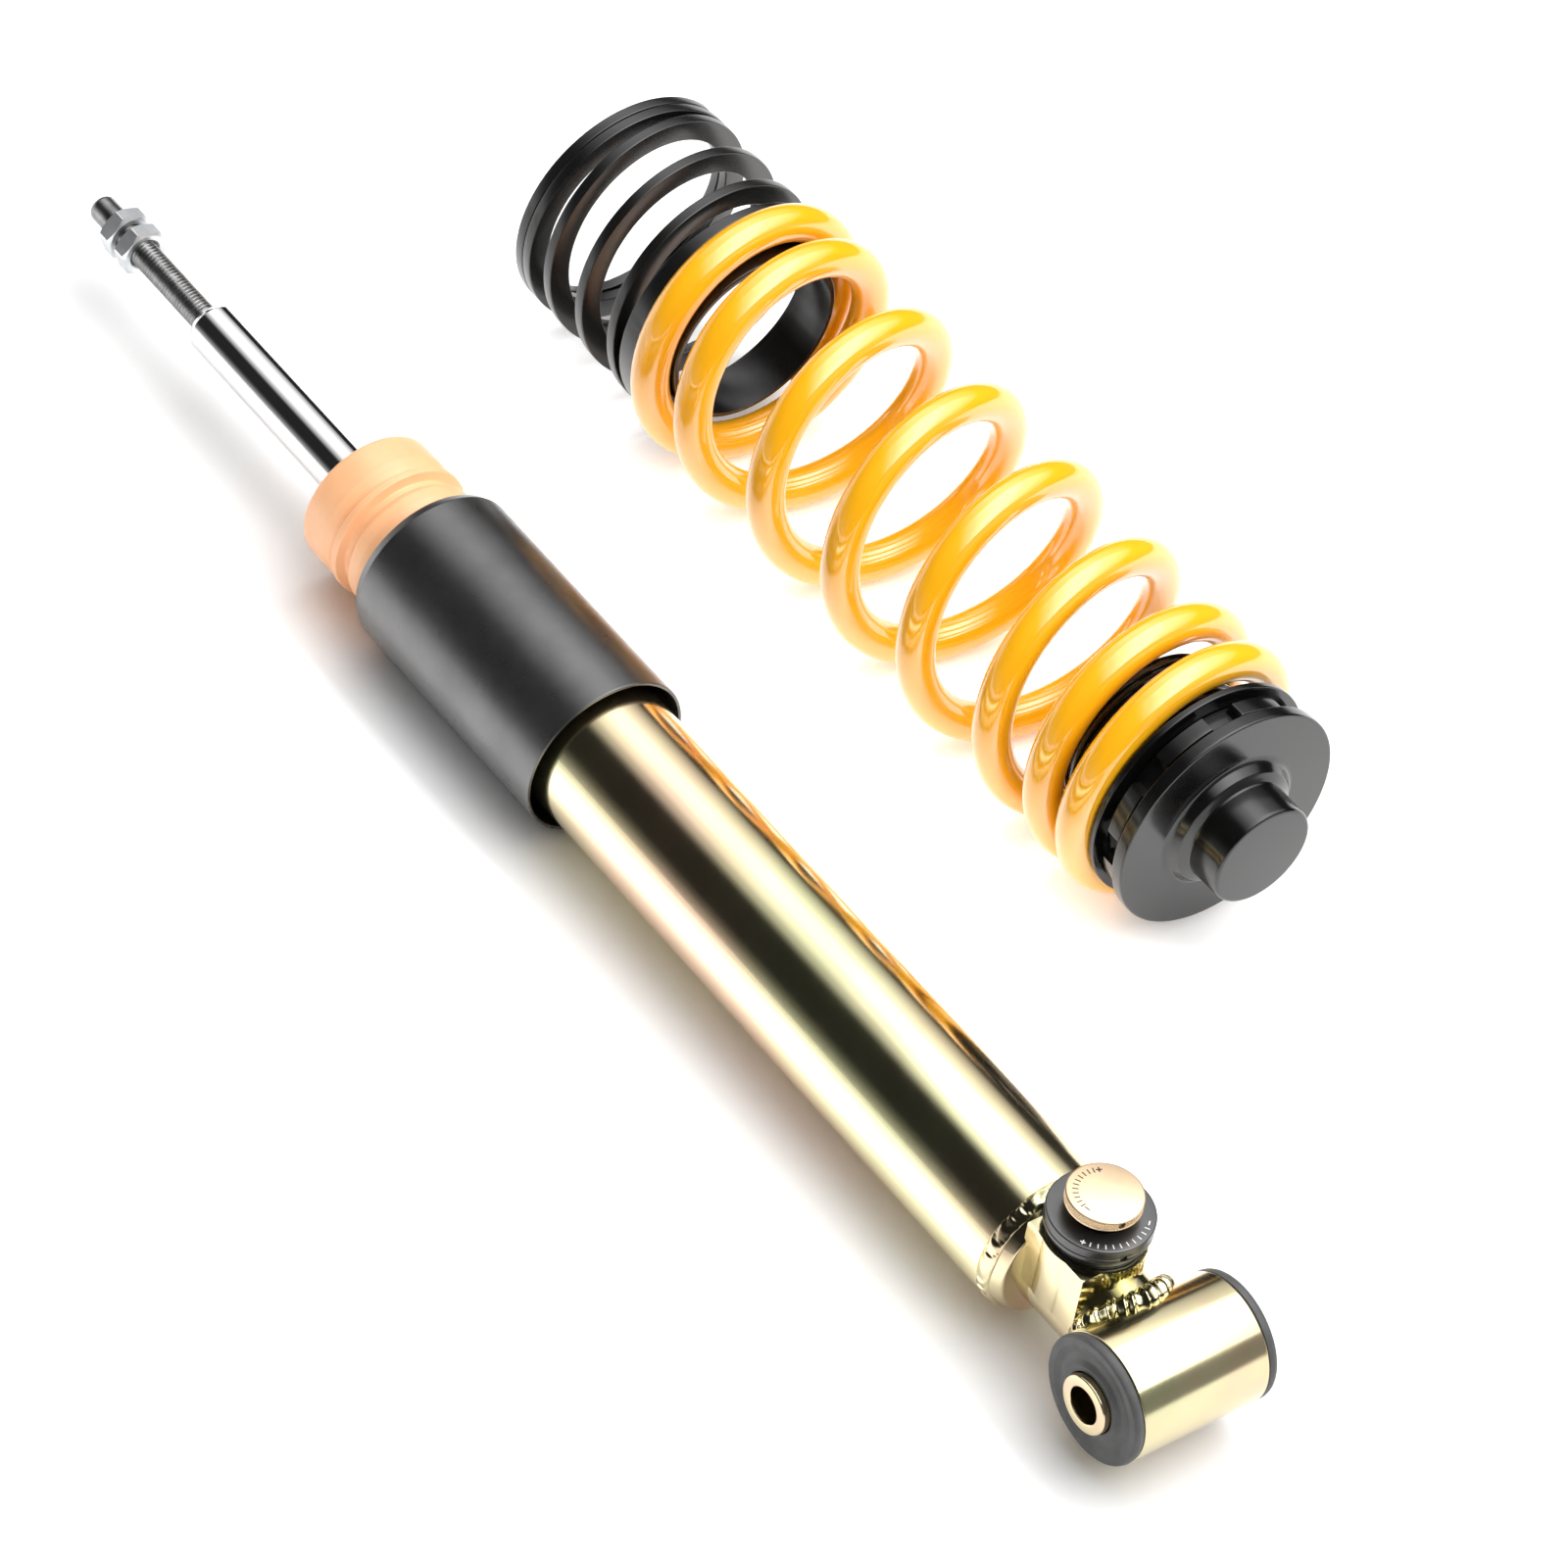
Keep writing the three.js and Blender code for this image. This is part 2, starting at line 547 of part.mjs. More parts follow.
const damper = new THREE.Group();
damper.add(
  node('damper_tube', ring(TUBE_TOP, TUBE_END, TUBE_R, TUBE_R - TUBE_WALL, 32), goldZinc),
  node('pressure_tube', ring(GUIDE_END + GAP, PRESSURE_END, PRESSURE_R, PRESSURE_R - PRESSURE_WALL, 20), zinc),
  node('base_valve', baseValve(), darkSteel),
  node('end_cap', endCap(), goldZinc),
  node('tube_weld', tubeWeld(), goldZinc),
  node('valve_block', valveBlock(), goldZinc),
  node('eye_tube', ring(-EYE_HALF, EYE_HALF, EYE_R, EYE_R - EYE_WALL, 32, 'y'), goldZinc),
  node('bush_outer_sleeve',
    ring(1 - EYE_HALF, EYE_HALF - 1, EYE_R - EYE_WALL - GAP, EYE_R - EYE_WALL - 1.5 - GAP, 32, 'y'), zinc),
  node('bush_rubber', bushRubber(), rubber),
  node('bush_inner_sleeve', ring(-SLEEVE_HALF, SLEEVE_HALF, SLEEVE_R, SLEEVE_BORE_R, 28, 'y'), goldZinc),
  node('adjuster_housing', adjusterHousing(), blackAnodised),
  node('high_speed_ring', highSpeedRing(), blackAnodised),
  node('high_speed_set_screw', setScrew((HIGH_RING_BASE + HIGH_RING_TOP) / 2 - 1, HIGH_RING_R), darkSteel),
  node('low_speed_knob', lowSpeedKnob(), goldZinc),
  node('low_speed_set_screw', setScrew((LOW_KNOB_BASE + LOW_KNOB_TOP) / 2, LOW_KNOB_R), darkSteel),
  node('low_speed_spindle', rod(3, LOW_KNOB_TOP - 1 - GAP, SPINDLE_R, 14, 'z').translate(KNOB_X, 0, 0), zinc),
  node('rod_guide', ring(TUBE_TOP + 5.3, GUIDE_END, capFit, ROD_R + GAP, 32), darkSteel),
  node('rod_seal', ring(TUBE_TOP + 0.8, TUBE_TOP + 5, capFit, ROD_R + GAP, 28), rubber),
  node('piston_rod', pistonRod(), chrome),
  node('rebound_adjuster_pin', rod(ROD_TIP + 1.5, PISTON_TOP + PISTON_LENGTH, ROD_BORE_R - GAP, 12), darkSteel),
  node('rebound_stop',
    ring(GUIDE_END + GAP, GUIDE_END + REBOUND_STOP_LENGTH, 13, ROD_R + GAP, 20), rubber),
  node('piston', ring(PISTON_TOP, PISTON_TOP + PISTON_LENGTH, pistonFit, 6 + GAP, 28), darkSteel),
  node('piston_nut', hexNut(PISTON_TOP + PISTON_LENGTH + GAP, 8, 19, 6.5), zinc),
  node('lower_nut', hexNut(LOWER_NUT, NUT_THICKNESS, NUT_FLATS, STUD_R + GAP), zinc),
  node('upper_nut', hexNut(upperNut, NUT_THICKNESS, NUT_FLATS, STUD_R + GAP), zinc),
  node('bump_stop', bumpStop(), foam),
  node('dust_cover', dustCover(), blackPlastic),
);

const springUnit = new THREE.Group();
springUnit.add(
  node('main_spring', mainSpring(), springYellow),
  node('helper_spring', helperSpring(), blackPlastic),
  node('spring_adapter', springAdapter(), blackPlastic),
  node('perch_ring',
    ring(PERCH_SEAT, PERCH_SEAT + PERCH_RING_THICK, PERCH_RING_R, THREAD_R + GAP, 32), blackPlastic),
  node('perch_collar', perchCollar(), blackPlastic),
  node('perch_base', perchBase(), blackPlastic),
);
springUnit.position.set(0, SPRING_Y, SPRING_Z);

// The origin is under the middle of the laid-out kit, on the surface that it lies on.
const whole = new THREE.Group();
whole.add(damper, springUnit);
whole.position.set(
  -(ROD_TIP + EYE_R) / 2,
  -(SPRING_Y + SPRING_MEAN_R + WIRE_R - SLEEVE_HALF) / 2,
  -FLOOR_Z,
);

const part = new THREE.Group();
part.add(whole);

export default part;
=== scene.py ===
"""Looks for a rear coilover kit: a damper with a welded eye, and a separate spring unit beside it.

Lengths in the tables below are millimetres from the centre of the damper's eye. Both assemblies
lie along X, with the eye towards +X. The spring unit's pieces are measured from its own axis.
"""

import math

import bmesh
import bpy
from mathutils import Matrix, Vector


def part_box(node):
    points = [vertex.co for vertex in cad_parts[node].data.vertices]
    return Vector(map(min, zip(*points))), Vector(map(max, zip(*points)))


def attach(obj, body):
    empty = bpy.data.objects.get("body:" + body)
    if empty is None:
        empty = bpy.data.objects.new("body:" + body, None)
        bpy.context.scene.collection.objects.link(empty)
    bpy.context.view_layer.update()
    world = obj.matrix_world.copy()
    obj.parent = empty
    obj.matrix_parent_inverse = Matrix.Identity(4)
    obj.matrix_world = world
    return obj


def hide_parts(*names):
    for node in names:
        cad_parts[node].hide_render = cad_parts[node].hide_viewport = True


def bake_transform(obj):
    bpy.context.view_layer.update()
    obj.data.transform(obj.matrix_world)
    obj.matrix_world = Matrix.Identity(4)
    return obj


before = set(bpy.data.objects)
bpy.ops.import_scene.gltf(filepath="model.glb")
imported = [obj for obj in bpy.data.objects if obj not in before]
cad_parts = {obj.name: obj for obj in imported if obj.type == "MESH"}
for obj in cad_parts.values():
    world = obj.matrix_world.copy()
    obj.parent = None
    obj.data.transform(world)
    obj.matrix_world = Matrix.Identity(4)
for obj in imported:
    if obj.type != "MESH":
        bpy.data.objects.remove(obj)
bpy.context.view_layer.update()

MM = 0.001
TURN = 2 * math.pi
SAME_POINT = 1e-7
# An edge stays sharp where it turns by more degrees than this. SOFT is for worn and welded pieces.
SHARP = 38
SOFT = 60


# ------------------------------------------------------------------ places taken from the frame
def centre(node):
    low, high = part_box(node)
    return (Vector(low) + Vector(high)) / 2


EYE = centre("eye_tube")
SPRING_AXIS = Vector((EYE.x, centre("perch_ring").y, centre("perch_ring").z))
KNOB_AXIS = Vector((centre("high_speed_ring").x, EYE.y, EYE.z))


def along(node, axis=0, origin=EYE):
    """Where a node starts and ends on an axis, in millimetres from an origin."""
    low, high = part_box(node)
    return (low[axis] - origin[axis]) / MM, (high[axis] - origin[axis]) / MM


def across(node):
    """A node's outer radius across X, in millimetres."""
    low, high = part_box(node)
    return (high[1] - low[1]) / 2 / MM


# ------------------------------------------------------------------ meshes
def piece(name, vertices, faces, surface, body, slot, nodes=(), sharp=SHARP):
    """A finished mesh that rides on a body and stands for CAD nodes.

    Edges that turn by more than sharp degrees stay sharp. A tool for a cut has no body. slot is not
    used.
    """
    mesh = bpy.data.meshes.new(name)
    mesh.from_pydata(vertices, [], faces)
    work = bmesh.new()
    work.from_mesh(mesh)
    bmesh.ops.remove_doubles(work, verts=work.verts, dist=SAME_POINT)
    bmesh.ops.recalc_face_normals(work, faces=work.faces)
    work.to_mesh(mesh)
    work.free()
    mesh.shade_smooth()
    mesh.set_sharp_from_angle(angle=math.radians(sharp))
    mesh.materials.append(surface)
    obj = bpy.data.objects.new(name, mesh)
    bpy.context.scene.collection.objects.link(obj)
    if body:
        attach(obj, body)
    if nodes:
        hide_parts(*nodes)
    return obj


LONGEST_TRIM = 0.48


def rounded(points, steps=5):
    """A profile with its corners rounded, in steps.

    A point is (along, radius), or (along, radius, corner radius) where it is a corner to round.
    """
    result = []
    last = len(points) - 1
    for i, point in enumerate(points):
        here = Vector(point[:2])
        if len(point) < 3 or i in (0, last):
            result.append(here)
            continue
        before = Vector(points[i - 1][:2]) - here
        after = Vector(points[i + 1][:2]) - here
        wanted = point[2] / math.tan(before.angle(after) / 2)
        trim = min(wanted, before.length * LONGEST_TRIM, after.length * LONGEST_TRIM)
        start = here + before.normalized() * trim
        end = here + after.normalized() * trim
        for k in range(steps + 1):
            t = k / steps
            result.append(start * (1 - t) ** 2 + here * 2 * t * (1 - t) + end * t * t)
    return [tuple(p) for p in result]


# A point from its distance along an axis, its radius and its angle round that axis.
PLACES = {
    "x": lambda a, r, t: (a, r * math.cos(t), r * math.sin(t)),
    "y": lambda a, r, t: (r * math.cos(t), a, r * math.sin(t)),
    "z": lambda a, r, t: (r * math.cos(t), r * math.sin(t), a),
}


def turned(profile, axis="x", origin=EYE, segments=128, shape=None):
    """Vertices and faces of a profile turned about an axis. shape may move each point.

    A profile that starts off the axis closes on itself. One that starts on it ends on it.
    """
    place = PLACES[axis]
    closed = profile[0][1] > 0
    vertices = []
    for i in range(segments):
        angle = TURN * i / segments
        for a, r in profile:
            if shape:
                a, r = shape(a, r, angle)
            vertices.append(origin + Vector(place(a, r, angle)) * MM)
    size = len(profile)
    spans = size if closed else size - 1
    faces = []
    for i in range(segments):
        for k in range(spans):
            here, there = i * size, (i + 1) % segments * size
            faces.append((here + k, here + (k + 1) % size, there + (k + 1) % size, there + k))
    return vertices, faces


def lathe(name, profile, surface, body, slot, nodes=(), sharp=SHARP, **options):
    return piece(name, *turned(profile, **options), surface, body, slot, nodes, sharp)


def cut(obj, *solids, operation="DIFFERENCE"):
    """Takes other closed solids, given as (vertices, faces), out of a piece, or adds them."""
    for vertices, faces in solids:
        tool = piece("cutter", vertices, faces, obj.data.materials[0], None, None)
        change = obj.modifiers.new("cut", "BOOLEAN")
        change.operation = operation
        change.solver = "EXACT"
        change.object = tool
        settle(obj)
        bpy.data.objects.remove(tool)
    return obj


def merge(obj, *solids):
    """Adds other closed solids to a piece."""
    return cut(obj, *solids, operation="UNION")


def settle(obj, sharp=SHARP):
    """Applies a piece's modifiers to its mesh."""
    bpy.context.view_layer.update()
    ready = obj.evaluated_get(bpy.context.evaluated_depsgraph_get())
    mesh = bpy.data.meshes.new_from_object(ready)
    obj.modifiers.clear()
    old = obj.data
    obj.data = mesh
    bpy.data.meshes.remove(old)
    mesh.name = obj.name
    mesh.shade_smooth()
    mesh.set_sharp_from_angle(angle=math.radians(sharp))


def soften(obj, width, angle=35):
    """Rounds a piece's sharp edges."""
    change = obj.modifiers.new("edges", "BEVEL")
    change.width = width * MM
    change.segments = 3
    change.limit_method = "ANGLE"
    change.angle_limit = math.radians(angle)
    change.use_clamp_overlap = True
    settle(obj, sharp=SOFT)


def sweep(points, radii, sides, origin):
    """Vertices and faces of a closed tube through points.

    Its radius is given per point and per angle round the tube.
    """
    vertices = []
    count = len(points)
    for i, point in enumerate(points):
        before, after = points[i - 1], points[(i + 1) % count]
        tangent = (after - before).normalized()
        side = tangent.cross(Vector((0, point.y, point.z)).normalized()).normalized()
        up = side.cross(tangent)
        for k in range(sides):
            angle = TURN * k / sides
            out = up * math.cos(angle) + side * math.sin(angle)
            vertices.append(origin + (point + out * radii(i, angle)) * MM)
    faces = []
    for i in range(count):
        for k in range(sides):
            here, there = i * sides, (i + 1) % count * sides
            faces.append((here + k, here + (k + 1) % sides, there + (k + 1) % sides, there + k))
    return vertices, faces


# ------------------------------------------------------------------ surfaces
class Surface:
    """A node material, built round one Principled shader."""

    def __init__(self, name, **inputs):
        self.material = bpy.data.materials.new(name)
        self.material.use_nodes = True
        self.tree = self.material.node_tree
        self.tree.nodes.clear()
        output = self.tree.nodes.new("ShaderNodeOutputMaterial")
        self.shader = self.tree.nodes.new("ShaderNodeBsdfPrincipled")
        self.tree.links.new(self.shader.outputs[0], output.inputs[0])
        self.place = self.tree.nodes.new("ShaderNodeTexCoord").outputs["Object"]
        for key, value in inputs.items():
            self.shader.inputs[key.replace("_", " ")].default_value = value

    def node(self, kind, inputs, **settings):
        made = self.tree.nodes.new("ShaderNode" + kind)
        for key, value in settings.items():
            setattr(made, key, value)
        for key, value in inputs.items():
            if isinstance(value, bpy.types.NodeSocket):
                self.tree.links.new(value, made.inputs[key])
            else:
                made.inputs[key].default_value = value
        return made

    def noise(self, stretch, detail=3.0, rough=0.5):
        """Noise whose grain is set per axis, in grains per metre."""
        moved = self.node("Mapping", {"Vector": self.place, "Scale": stretch})
        return self.node("TexNoise", {"Vector": moved.outputs[0], "Scale": 1.0,
                                      "Detail": detail, "Roughness": rough}).outputs["Fac"]

    def ramp(self, value, *stops):
        """A colour ramp of (position, colour) stops."""
        made = self.node("ValToRGB", {"Fac": value})
        points = made.color_ramp.elements
        while len(points) < len(stops):
            points.new(0.5)
        for point, (position, colour) in zip(points, stops):
            point.position = position
            point.color = (*colour, 1)
        return made.outputs[0]

    def between(self, value, low, high):
        """A value from 0 to 1 spread between two others."""
        return self.node("MapRange", {"Value": value, "To Min": low, "To Max": high}).outputs[0]

    def tinted(self, first, second, share):
        """A colour multiplied by a share of another."""
        made = self.node("Mix", {0: share, 6: first, 7: second},
                         data_type="RGBA", blend_type="MULTIPLY")
        return made.outputs[2]

    def arithmetic(self, operation, first, second):
        """Two values put together by a Math node."""
        return self.node("Math", {0: first, 1: second}, operation=operation).outputs[0]

    def bump(self, height, distance, strength, onto=None):
        """Relief from a height, distance millimetres deep, over another relief if there is one."""
        made = self.node("Bump", {"Height": height, "Distance": distance * MM,
                                  "Strength": strength})
        if onto:
            self.tree.links.new(onto, made.inputs["Normal"])
        return made.outputs[0]

    def link(self, **sockets):
        for key, socket in sockets.items():
            self.tree.links.new(socket, self.shader.inputs[key.replace("_", " ")])


def grey(value):
    return (value, value, value)


def gold_zinc(name, grain=(900, 25, 25), rough=(0.10, 0.2), level=1.0):
    """Yellow chromate over zinc: straw, drifting towards green and pink, with faint drawn lines.

    level darkens it all over, as painted shade that tones down the bright floor it reflects.
    """
    s = Surface(name, Metallic=1.0)
    drift = s.noise((9, 26, 26), detail=2)
    cloud = s.noise((55, 55, 55), detail=4)
    straws = ((0.30, (0.80, 0.83, 0.47)), (0.46, (0.93, 0.85, 0.53)),
              (0.56, (0.94, 0.80, 0.50)), (0.70, (0.96, 0.70, 0.50)))
    # Where level is under 1, this is painted shade that tones down the floor's bright reflection.
    tint = s.ramp(drift, *[(at, tuple(level * c for c in colour)) for at, colour in straws])
    haze = s.ramp(cloud, (0.3, grey(0.9)), (0.7, grey(1.0)))
    lines = s.noise(grain, detail=2, rough=0.6)
    s.link(
        Base_Color=s.tinted(tint, haze, 0.6),
        Roughness=s.between(s.noise((70, 70, 70), detail=5, rough=0.6), *rough),
        Normal=s.bump(lines, 0.004, 0.35),
    )
    return s.material


def chrome():
    """Hard chrome, polished round the rod."""
    s = Surface("hard_chrome", Metallic=1.0)
    polish = s.noise((60, 900, 900), detail=2)
    s.link(
        Base_Color=s.ramp(s.noise((14, 40, 40)), (0.3, grey(0.80)), (0.7, grey(0.88))),
        Roughness=s.between(polish, 0.05, 0.11),
        Normal=s.bump(s.noise((1500, 40, 40), detail=2), 0.002, 0.25),
    )
    return s.material


def zinc():
    """Clear zinc plate: pale, with a dull spangle."""
    s = Surface("bright_zinc", Metallic=1.0)
    s.link(
        Base_Color=s.ramp(s.noise((160, 160, 160), detail=5),
                          (0.3, (0.62, 0.64, 0.66)), (0.7, (0.82, 0.84, 0.85))),
        Roughness=s.between(s.noise((400, 90, 90), detail=4), 0.30, 0.46),
        Normal=s.bump(s.noise((700, 700, 700), detail=4), 0.01, 0.4),
    )
    return s.material


def dark_steel(name="phosphated_steel", tone=0.16, grain=0.008, rough=(0.28, 0.46)):
    """Phosphated steel: dark grey, with a fine matt grain."""
    s = Surface(name, Metallic=1.0)
    s.link(
        Base_Color=s.ramp(s.noise((300, 300, 300), detail=5),
                          (0.3, grey(tone * 0.7)), (0.7, grey(tone * 1.25))),
        Roughness=s.between(s.noise((500, 500, 500), detail=4), *rough),
        Normal=s.bump(s.noise((1600, 1600, 1600), detail=3), grain, 0.5),
    )
    return s.material


def black_metal(name, tone=0.12, rough=(0.24, 0.34), grain=(700, 60, 60)):
    """Black anodised or powder-coated metal: satin, with a very fine texture."""
    s = Surface(name, Metallic=0.9)
    s.link(
        Base_Color=s.ramp(s.noise((60, 60, 60), detail=5),
                          (0.3, grey(tone * 0.88)), (0.7, grey(tone * 1.1))),
        Roughness=s.between(s.noise((220, 220, 220), detail=5), *rough),
        Normal=s.bump(s.noise(grain, detail=3), 0.004, 0.4),
    )
    return s.material


def black_plastic(name, tone=0.006, rough=(0.16, 0.26), level=0.75):
    """Moulded glass-filled nylon: near black, with a fine mould grain."""
    s = Surface(name, Specular_IOR_Level=level)
    s.link(
        Base_Color=s.ramp(s.noise((90, 90, 90), detail=5),
                          (0.3, grey(tone * 0.8)), (0.7, grey(tone * 1.25))),
        Roughness=s.between(s.noise((260, 260, 260), detail=5), *rough),
        Normal=s.bump(s.noise((1800, 1800, 1800), detail=2), 0.001, 0.3),
    )
    return s.material


def spring_paint():
    """Thick gloss enamel with a trace of orange peel."""
    s = Surface("spring_enamel", Coat_Weight=1.0, Coat_Roughness=0.03, Coat_IOR=2.0,
                Specular_IOR_Level=0.2)
    s.link(
        Base_Color=s.ramp(s.noise((30, 30, 30), detail=4),
                          (0.3, (0.97, 0.45, 0.006)), (0.7, (1.0, 0.475, 0.008))),
        Roughness=s.between(s.noise((120, 120, 120), detail=3), 0.3, 0.4),
        Normal=s.bump(s.noise((420, 420, 420), detail=1), 0.008, 0.2),
    )
    return s.material


def foam():
    """Closed-cell polyurethane foam with a moulded skin: fine pores under a soft sheen."""
    s = Surface("bump_stop_foam", Specular_IOR_Level=0.6, Subsurface_Weight=0.05,
                Subsurface_Scale=0.001)
    s.shader.inputs["Subsurface Radius"].default_value = (1.0, 0.6, 0.35)
    cells = s.node("TexVoronoi", {"Vector": s.place, "Scale": 1500.0}).outputs["Distance"]
    soft = s.bump(s.noise((90, 90, 90), detail=4), 0.10, 0.25)
    s.link(
        Base_Color=s.ramp(s.noise((110, 110, 110), detail=6),
                          (0.3, (0.90, 0.46, 0.23)), (0.7, (0.95, 0.51, 0.26))),
        Roughness=s.between(s.noise((300, 300, 300), detail=4), 0.30, 0.42),
        Normal=s.bump(cells, 0.02, 0.3, onto=soft),
    )
    return s.material


def rubber():
    """Moulded natural rubber: dark grey, with a slight bloom."""
    s = Surface("bush_rubber_compound", Specular_IOR_Level=0.45)
    s.link(
        Base_Color=s.ramp(s.noise((140, 140, 140), detail=6),
                          (0.3, grey(0.055)), (0.7, grey(0.085))),
        Roughness=s.between(s.noise((350, 350, 350), detail=4), 0.42, 0.60),
        Normal=s.bump(s.noise((1400, 1400, 1400), detail=3), 0.02, 0.4),
    )
    return s.material


def knob_gold():
    """Turned and anodised aluminium, with fine rings about the knob's axis."""
    s = Surface("gold_anodised", Metallic=1.0)
    rings_per_metre = 5200.0
    centred = s.node("Mapping", {"Vector": s.place, "Location": [-c for c in KNOB_AXIS]})
    flat = s.node("VectorMath", {0: centred.outputs[0], 1: (1, 1, 0)}, operation="MULTIPLY")
    distance = s.node("VectorMath", {0: flat.outputs[0]}, operation="LENGTH").outputs["Value"]
    count = s.arithmetic("MULTIPLY", distance, rings_per_metre)
    rings = s.node("TexNoise", {"W": count, "Scale": 1.0, "Detail": 2.0},
                   noise_dimensions="1D").outputs["Fac"]
    s.link(
        Base_Color=s.ramp(s.noise((120, 120, 120)),
                          (0.3, (0.74, 0.55, 0.36)), (0.7, (0.80, 0.61, 0.40))),
        Roughness=s.between(rings, 0.30, 0.42),
        Normal=s.bump(rings, 0.004, 0.35),
    )
    return s.material


def marking(name, tone):
    """Printed or engraved and filled marks."""
    s = Surface(name, Specular_IOR_Level=0.3)
    s.link(
        Base_Color=s.ramp(s.noise((900, 900, 900)), (0.3, grey(tone * 0.85)), (0.7, grey(tone))),
        Roughness=s.between(s.noise((500, 500, 500)), 0.45, 0.6),
    )
    return s.material


GOLD = gold_zinc("gold_zinc_plate")
# Darker copies for the forged parts and the eye: painted shade, toning down the bright floor they
# reflect.
GOLD_FORGED_SHADED = gold_zinc("gold_zinc_forged_shaded", grain=(260, 260, 260), rough=(0.10, 0.18), level=0.76)
GOLD_EYE_SHADED = gold_zinc("gold_zinc_eye_shaded", grain=(25, 900, 25), rough=(0.12, 0.22), level=0.72)
CHROME = chrome()
ZINC = zinc()
STUD_STEEL = dark_steel("phosphated_thread", 0.26, grain=0.0003, rough=(0.26, 0.32))
DARK_STEEL = dark_steel()
COVER_BLACK = black_metal("cover_black", 0.14)
KNOB_BLACK = black_metal("knob_black", 0.10, rough=(0.26, 0.38))
HELPER_BLACK = black_plastic("helper_black", 0.005, rough=(0.23, 0.28), level=0.8)
PERCH_BLACK = black_plastic("perch_black", 0.004, rough=(0.14, 0.19), level=0.6)
ADAPTER_BLACK = black_plastic("adapter_black")
ENAMEL = spring_paint()
FOAM = foam()
RUBBER = rubber()
KNOB_GOLD = knob_gold()
INK = marking("mark_black", 0.02)
PAINT = marking("mark_white", 0.8)

# ------------------------------------------------------------------ damper: tube, cap and weld
TUBE_START, TUBE_END = along("damper_tube")
TUBE_R = across("damper_tube")
WALL = 2.0
WELD_END = along("tube_weld")[1]
CAP_FACE = along("end_cap")[1]
CAP_R = 23.9
CAP_PLUG = 6.0
BEAD_MIDDLE = (TUBE_END + WELD_END) / 2
BEAD_HALF = 2.9
BEAD_R = 24.2
BEAD_HEIGHT = 0.9
BEAD_FALL = 0.6
BEAD_ROOT_R = 23.2
BEAD_STEPS = 10
WELD_RIPPLES = 33
RIPPLE_STEPS = 16
RIPPLE_REACH = 2.3
RIPPLE_HEIGHT = 0.62

lathe("tube_body", rounded([
    (TUBE_START, TUBE_R - WALL), (TUBE_START, TUBE_R, 0.8), (TUBE_END, TUBE_R, 0.3),
    (TUBE_END, TUBE_R - WALL),
]), GOLD, "damper_body", "gold_zinc", ["damper_tube"], segments=160)

lathe("tube_end_cap", rounded([
    (TUBE_END - CAP_PLUG, 0), (TUBE_END - CAP_PLUG, CAP_R - 1.3), (WELD_END - 0.8, CAP_R),
    (WELD_END, CAP_R, 0.6), (CAP_FACE + 0.2, CAP_R - 2, 1.6), (CAP_FACE + 0.9, 15),
    (CAP_FACE + 1.4, 0),
]), GOLD_FORGED_SHADED, "damper_body", "gold_zinc", ["end_cap"])


def tube_weld_shape(a, r, angle):
    """Overlapping ripples round the bead, each one bowed across it."""
    if r < TUBE_R - 1.4:
        return a, r
    middle = (a - BEAD_MIDDLE) / RIPPLE_REACH
    uneven = 0.16 * math.sin(angle * 5 + 1) + 0.12 * math.sin(angle * 11)
    phase = (angle * WELD_RIPPLES / TURN + 0.55 * middle * middle + uneven) % 1.0
    ripple = min(1.0, 1.6 * (1 - phase)) * min(1.0, 6 * phase)
    height = RIPPLE_HEIGHT * (0.75 + 0.25 * math.sin(angle * 9 + 2)) * (1 - 0.55 * middle * middle)
    return a + 0.25 * math.sin(angle * 7), r + height * ripple


bead = [(TUBE_END - 0.9, BEAD_ROOT_R), (TUBE_END - 0.9, TUBE_R - 0.1)]
for step in range(BEAD_STEPS + 1):
    share = step / BEAD_STEPS
    bead.append((BEAD_MIDDLE - BEAD_HALF * math.cos(math.pi * share),
                 BEAD_R + BEAD_HEIGHT * math.sin(math.pi * share) - BEAD_FALL * share))
bead.append((WELD_END + 0.6, BEAD_ROOT_R))
lathe("tube_weld_bead", bead, GOLD_FORGED_SHADED, "damper_body", "gold_zinc", ["tube_weld"],
      segments=WELD_RIPPLES * RIPPLE_STEPS, shape=tube_weld_shape, sharp=SOFT)

# ------------------------------------------------------------------ damper: block, eye and bush
NECK_R = 16.0
BLOCK_START, BLOCK_END = -51.0, -24.3
SEAT_RIM_R = 16.9
BLOCK_TOP = along("valve_block", 2)[1]
BLOCK_DROP = 1.0
KNOB_X = (KNOB_AXIS.x - EYE.x) / MM
CUT_PAST = 8.0
SEAT_FLOOR = along("adjuster_housing", 2)[0] - 0.3
HOUSING_R = across("adjuster_housing")
EYE_R = (along("eye_tube", 2)[1] - along("eye_tube", 2)[0]) / 2
EYE_HALF = along("eye_tube", 1)[1]


def half_block(side):
    """Half of the block's end view: a flat side and top over a round underside.

    It reaches a millimetre past the middle, so that the two halves join.
    """
    steps = 24
    points = [(-side, BLOCK_TOP), (side * NECK_R, BLOCK_TOP)]
    for step in range(steps + 1):
        turn = math.pi / 2 * step / steps
        points.append((side * NECK_R * math.cos(turn), -NECK_R * math.sin(turn) - BLOCK_DROP))
    return points + [(-side, -NECK_R - BLOCK_DROP)]


def prism(outline, start, end):
    """Vertices and faces of an outline in the YZ plane, pushed along X."""
    vertices = [EYE + Vector((x, y, z)) * MM for x in (start, end) for y, z in outline]
    size = len(outline)
    faces = [(k, (k + 1) % size, size + (k + 1) % size, size + k) for k in range(size)]
    faces += [tuple(range(size)), tuple(range(size, 2 * size))]
    return vertices, faces


def cylinder(start, end, radius, axis, origin):
    return turned([(start, 0), (start, radius), (end, radius), (end, 0)], axis, origin, 96)


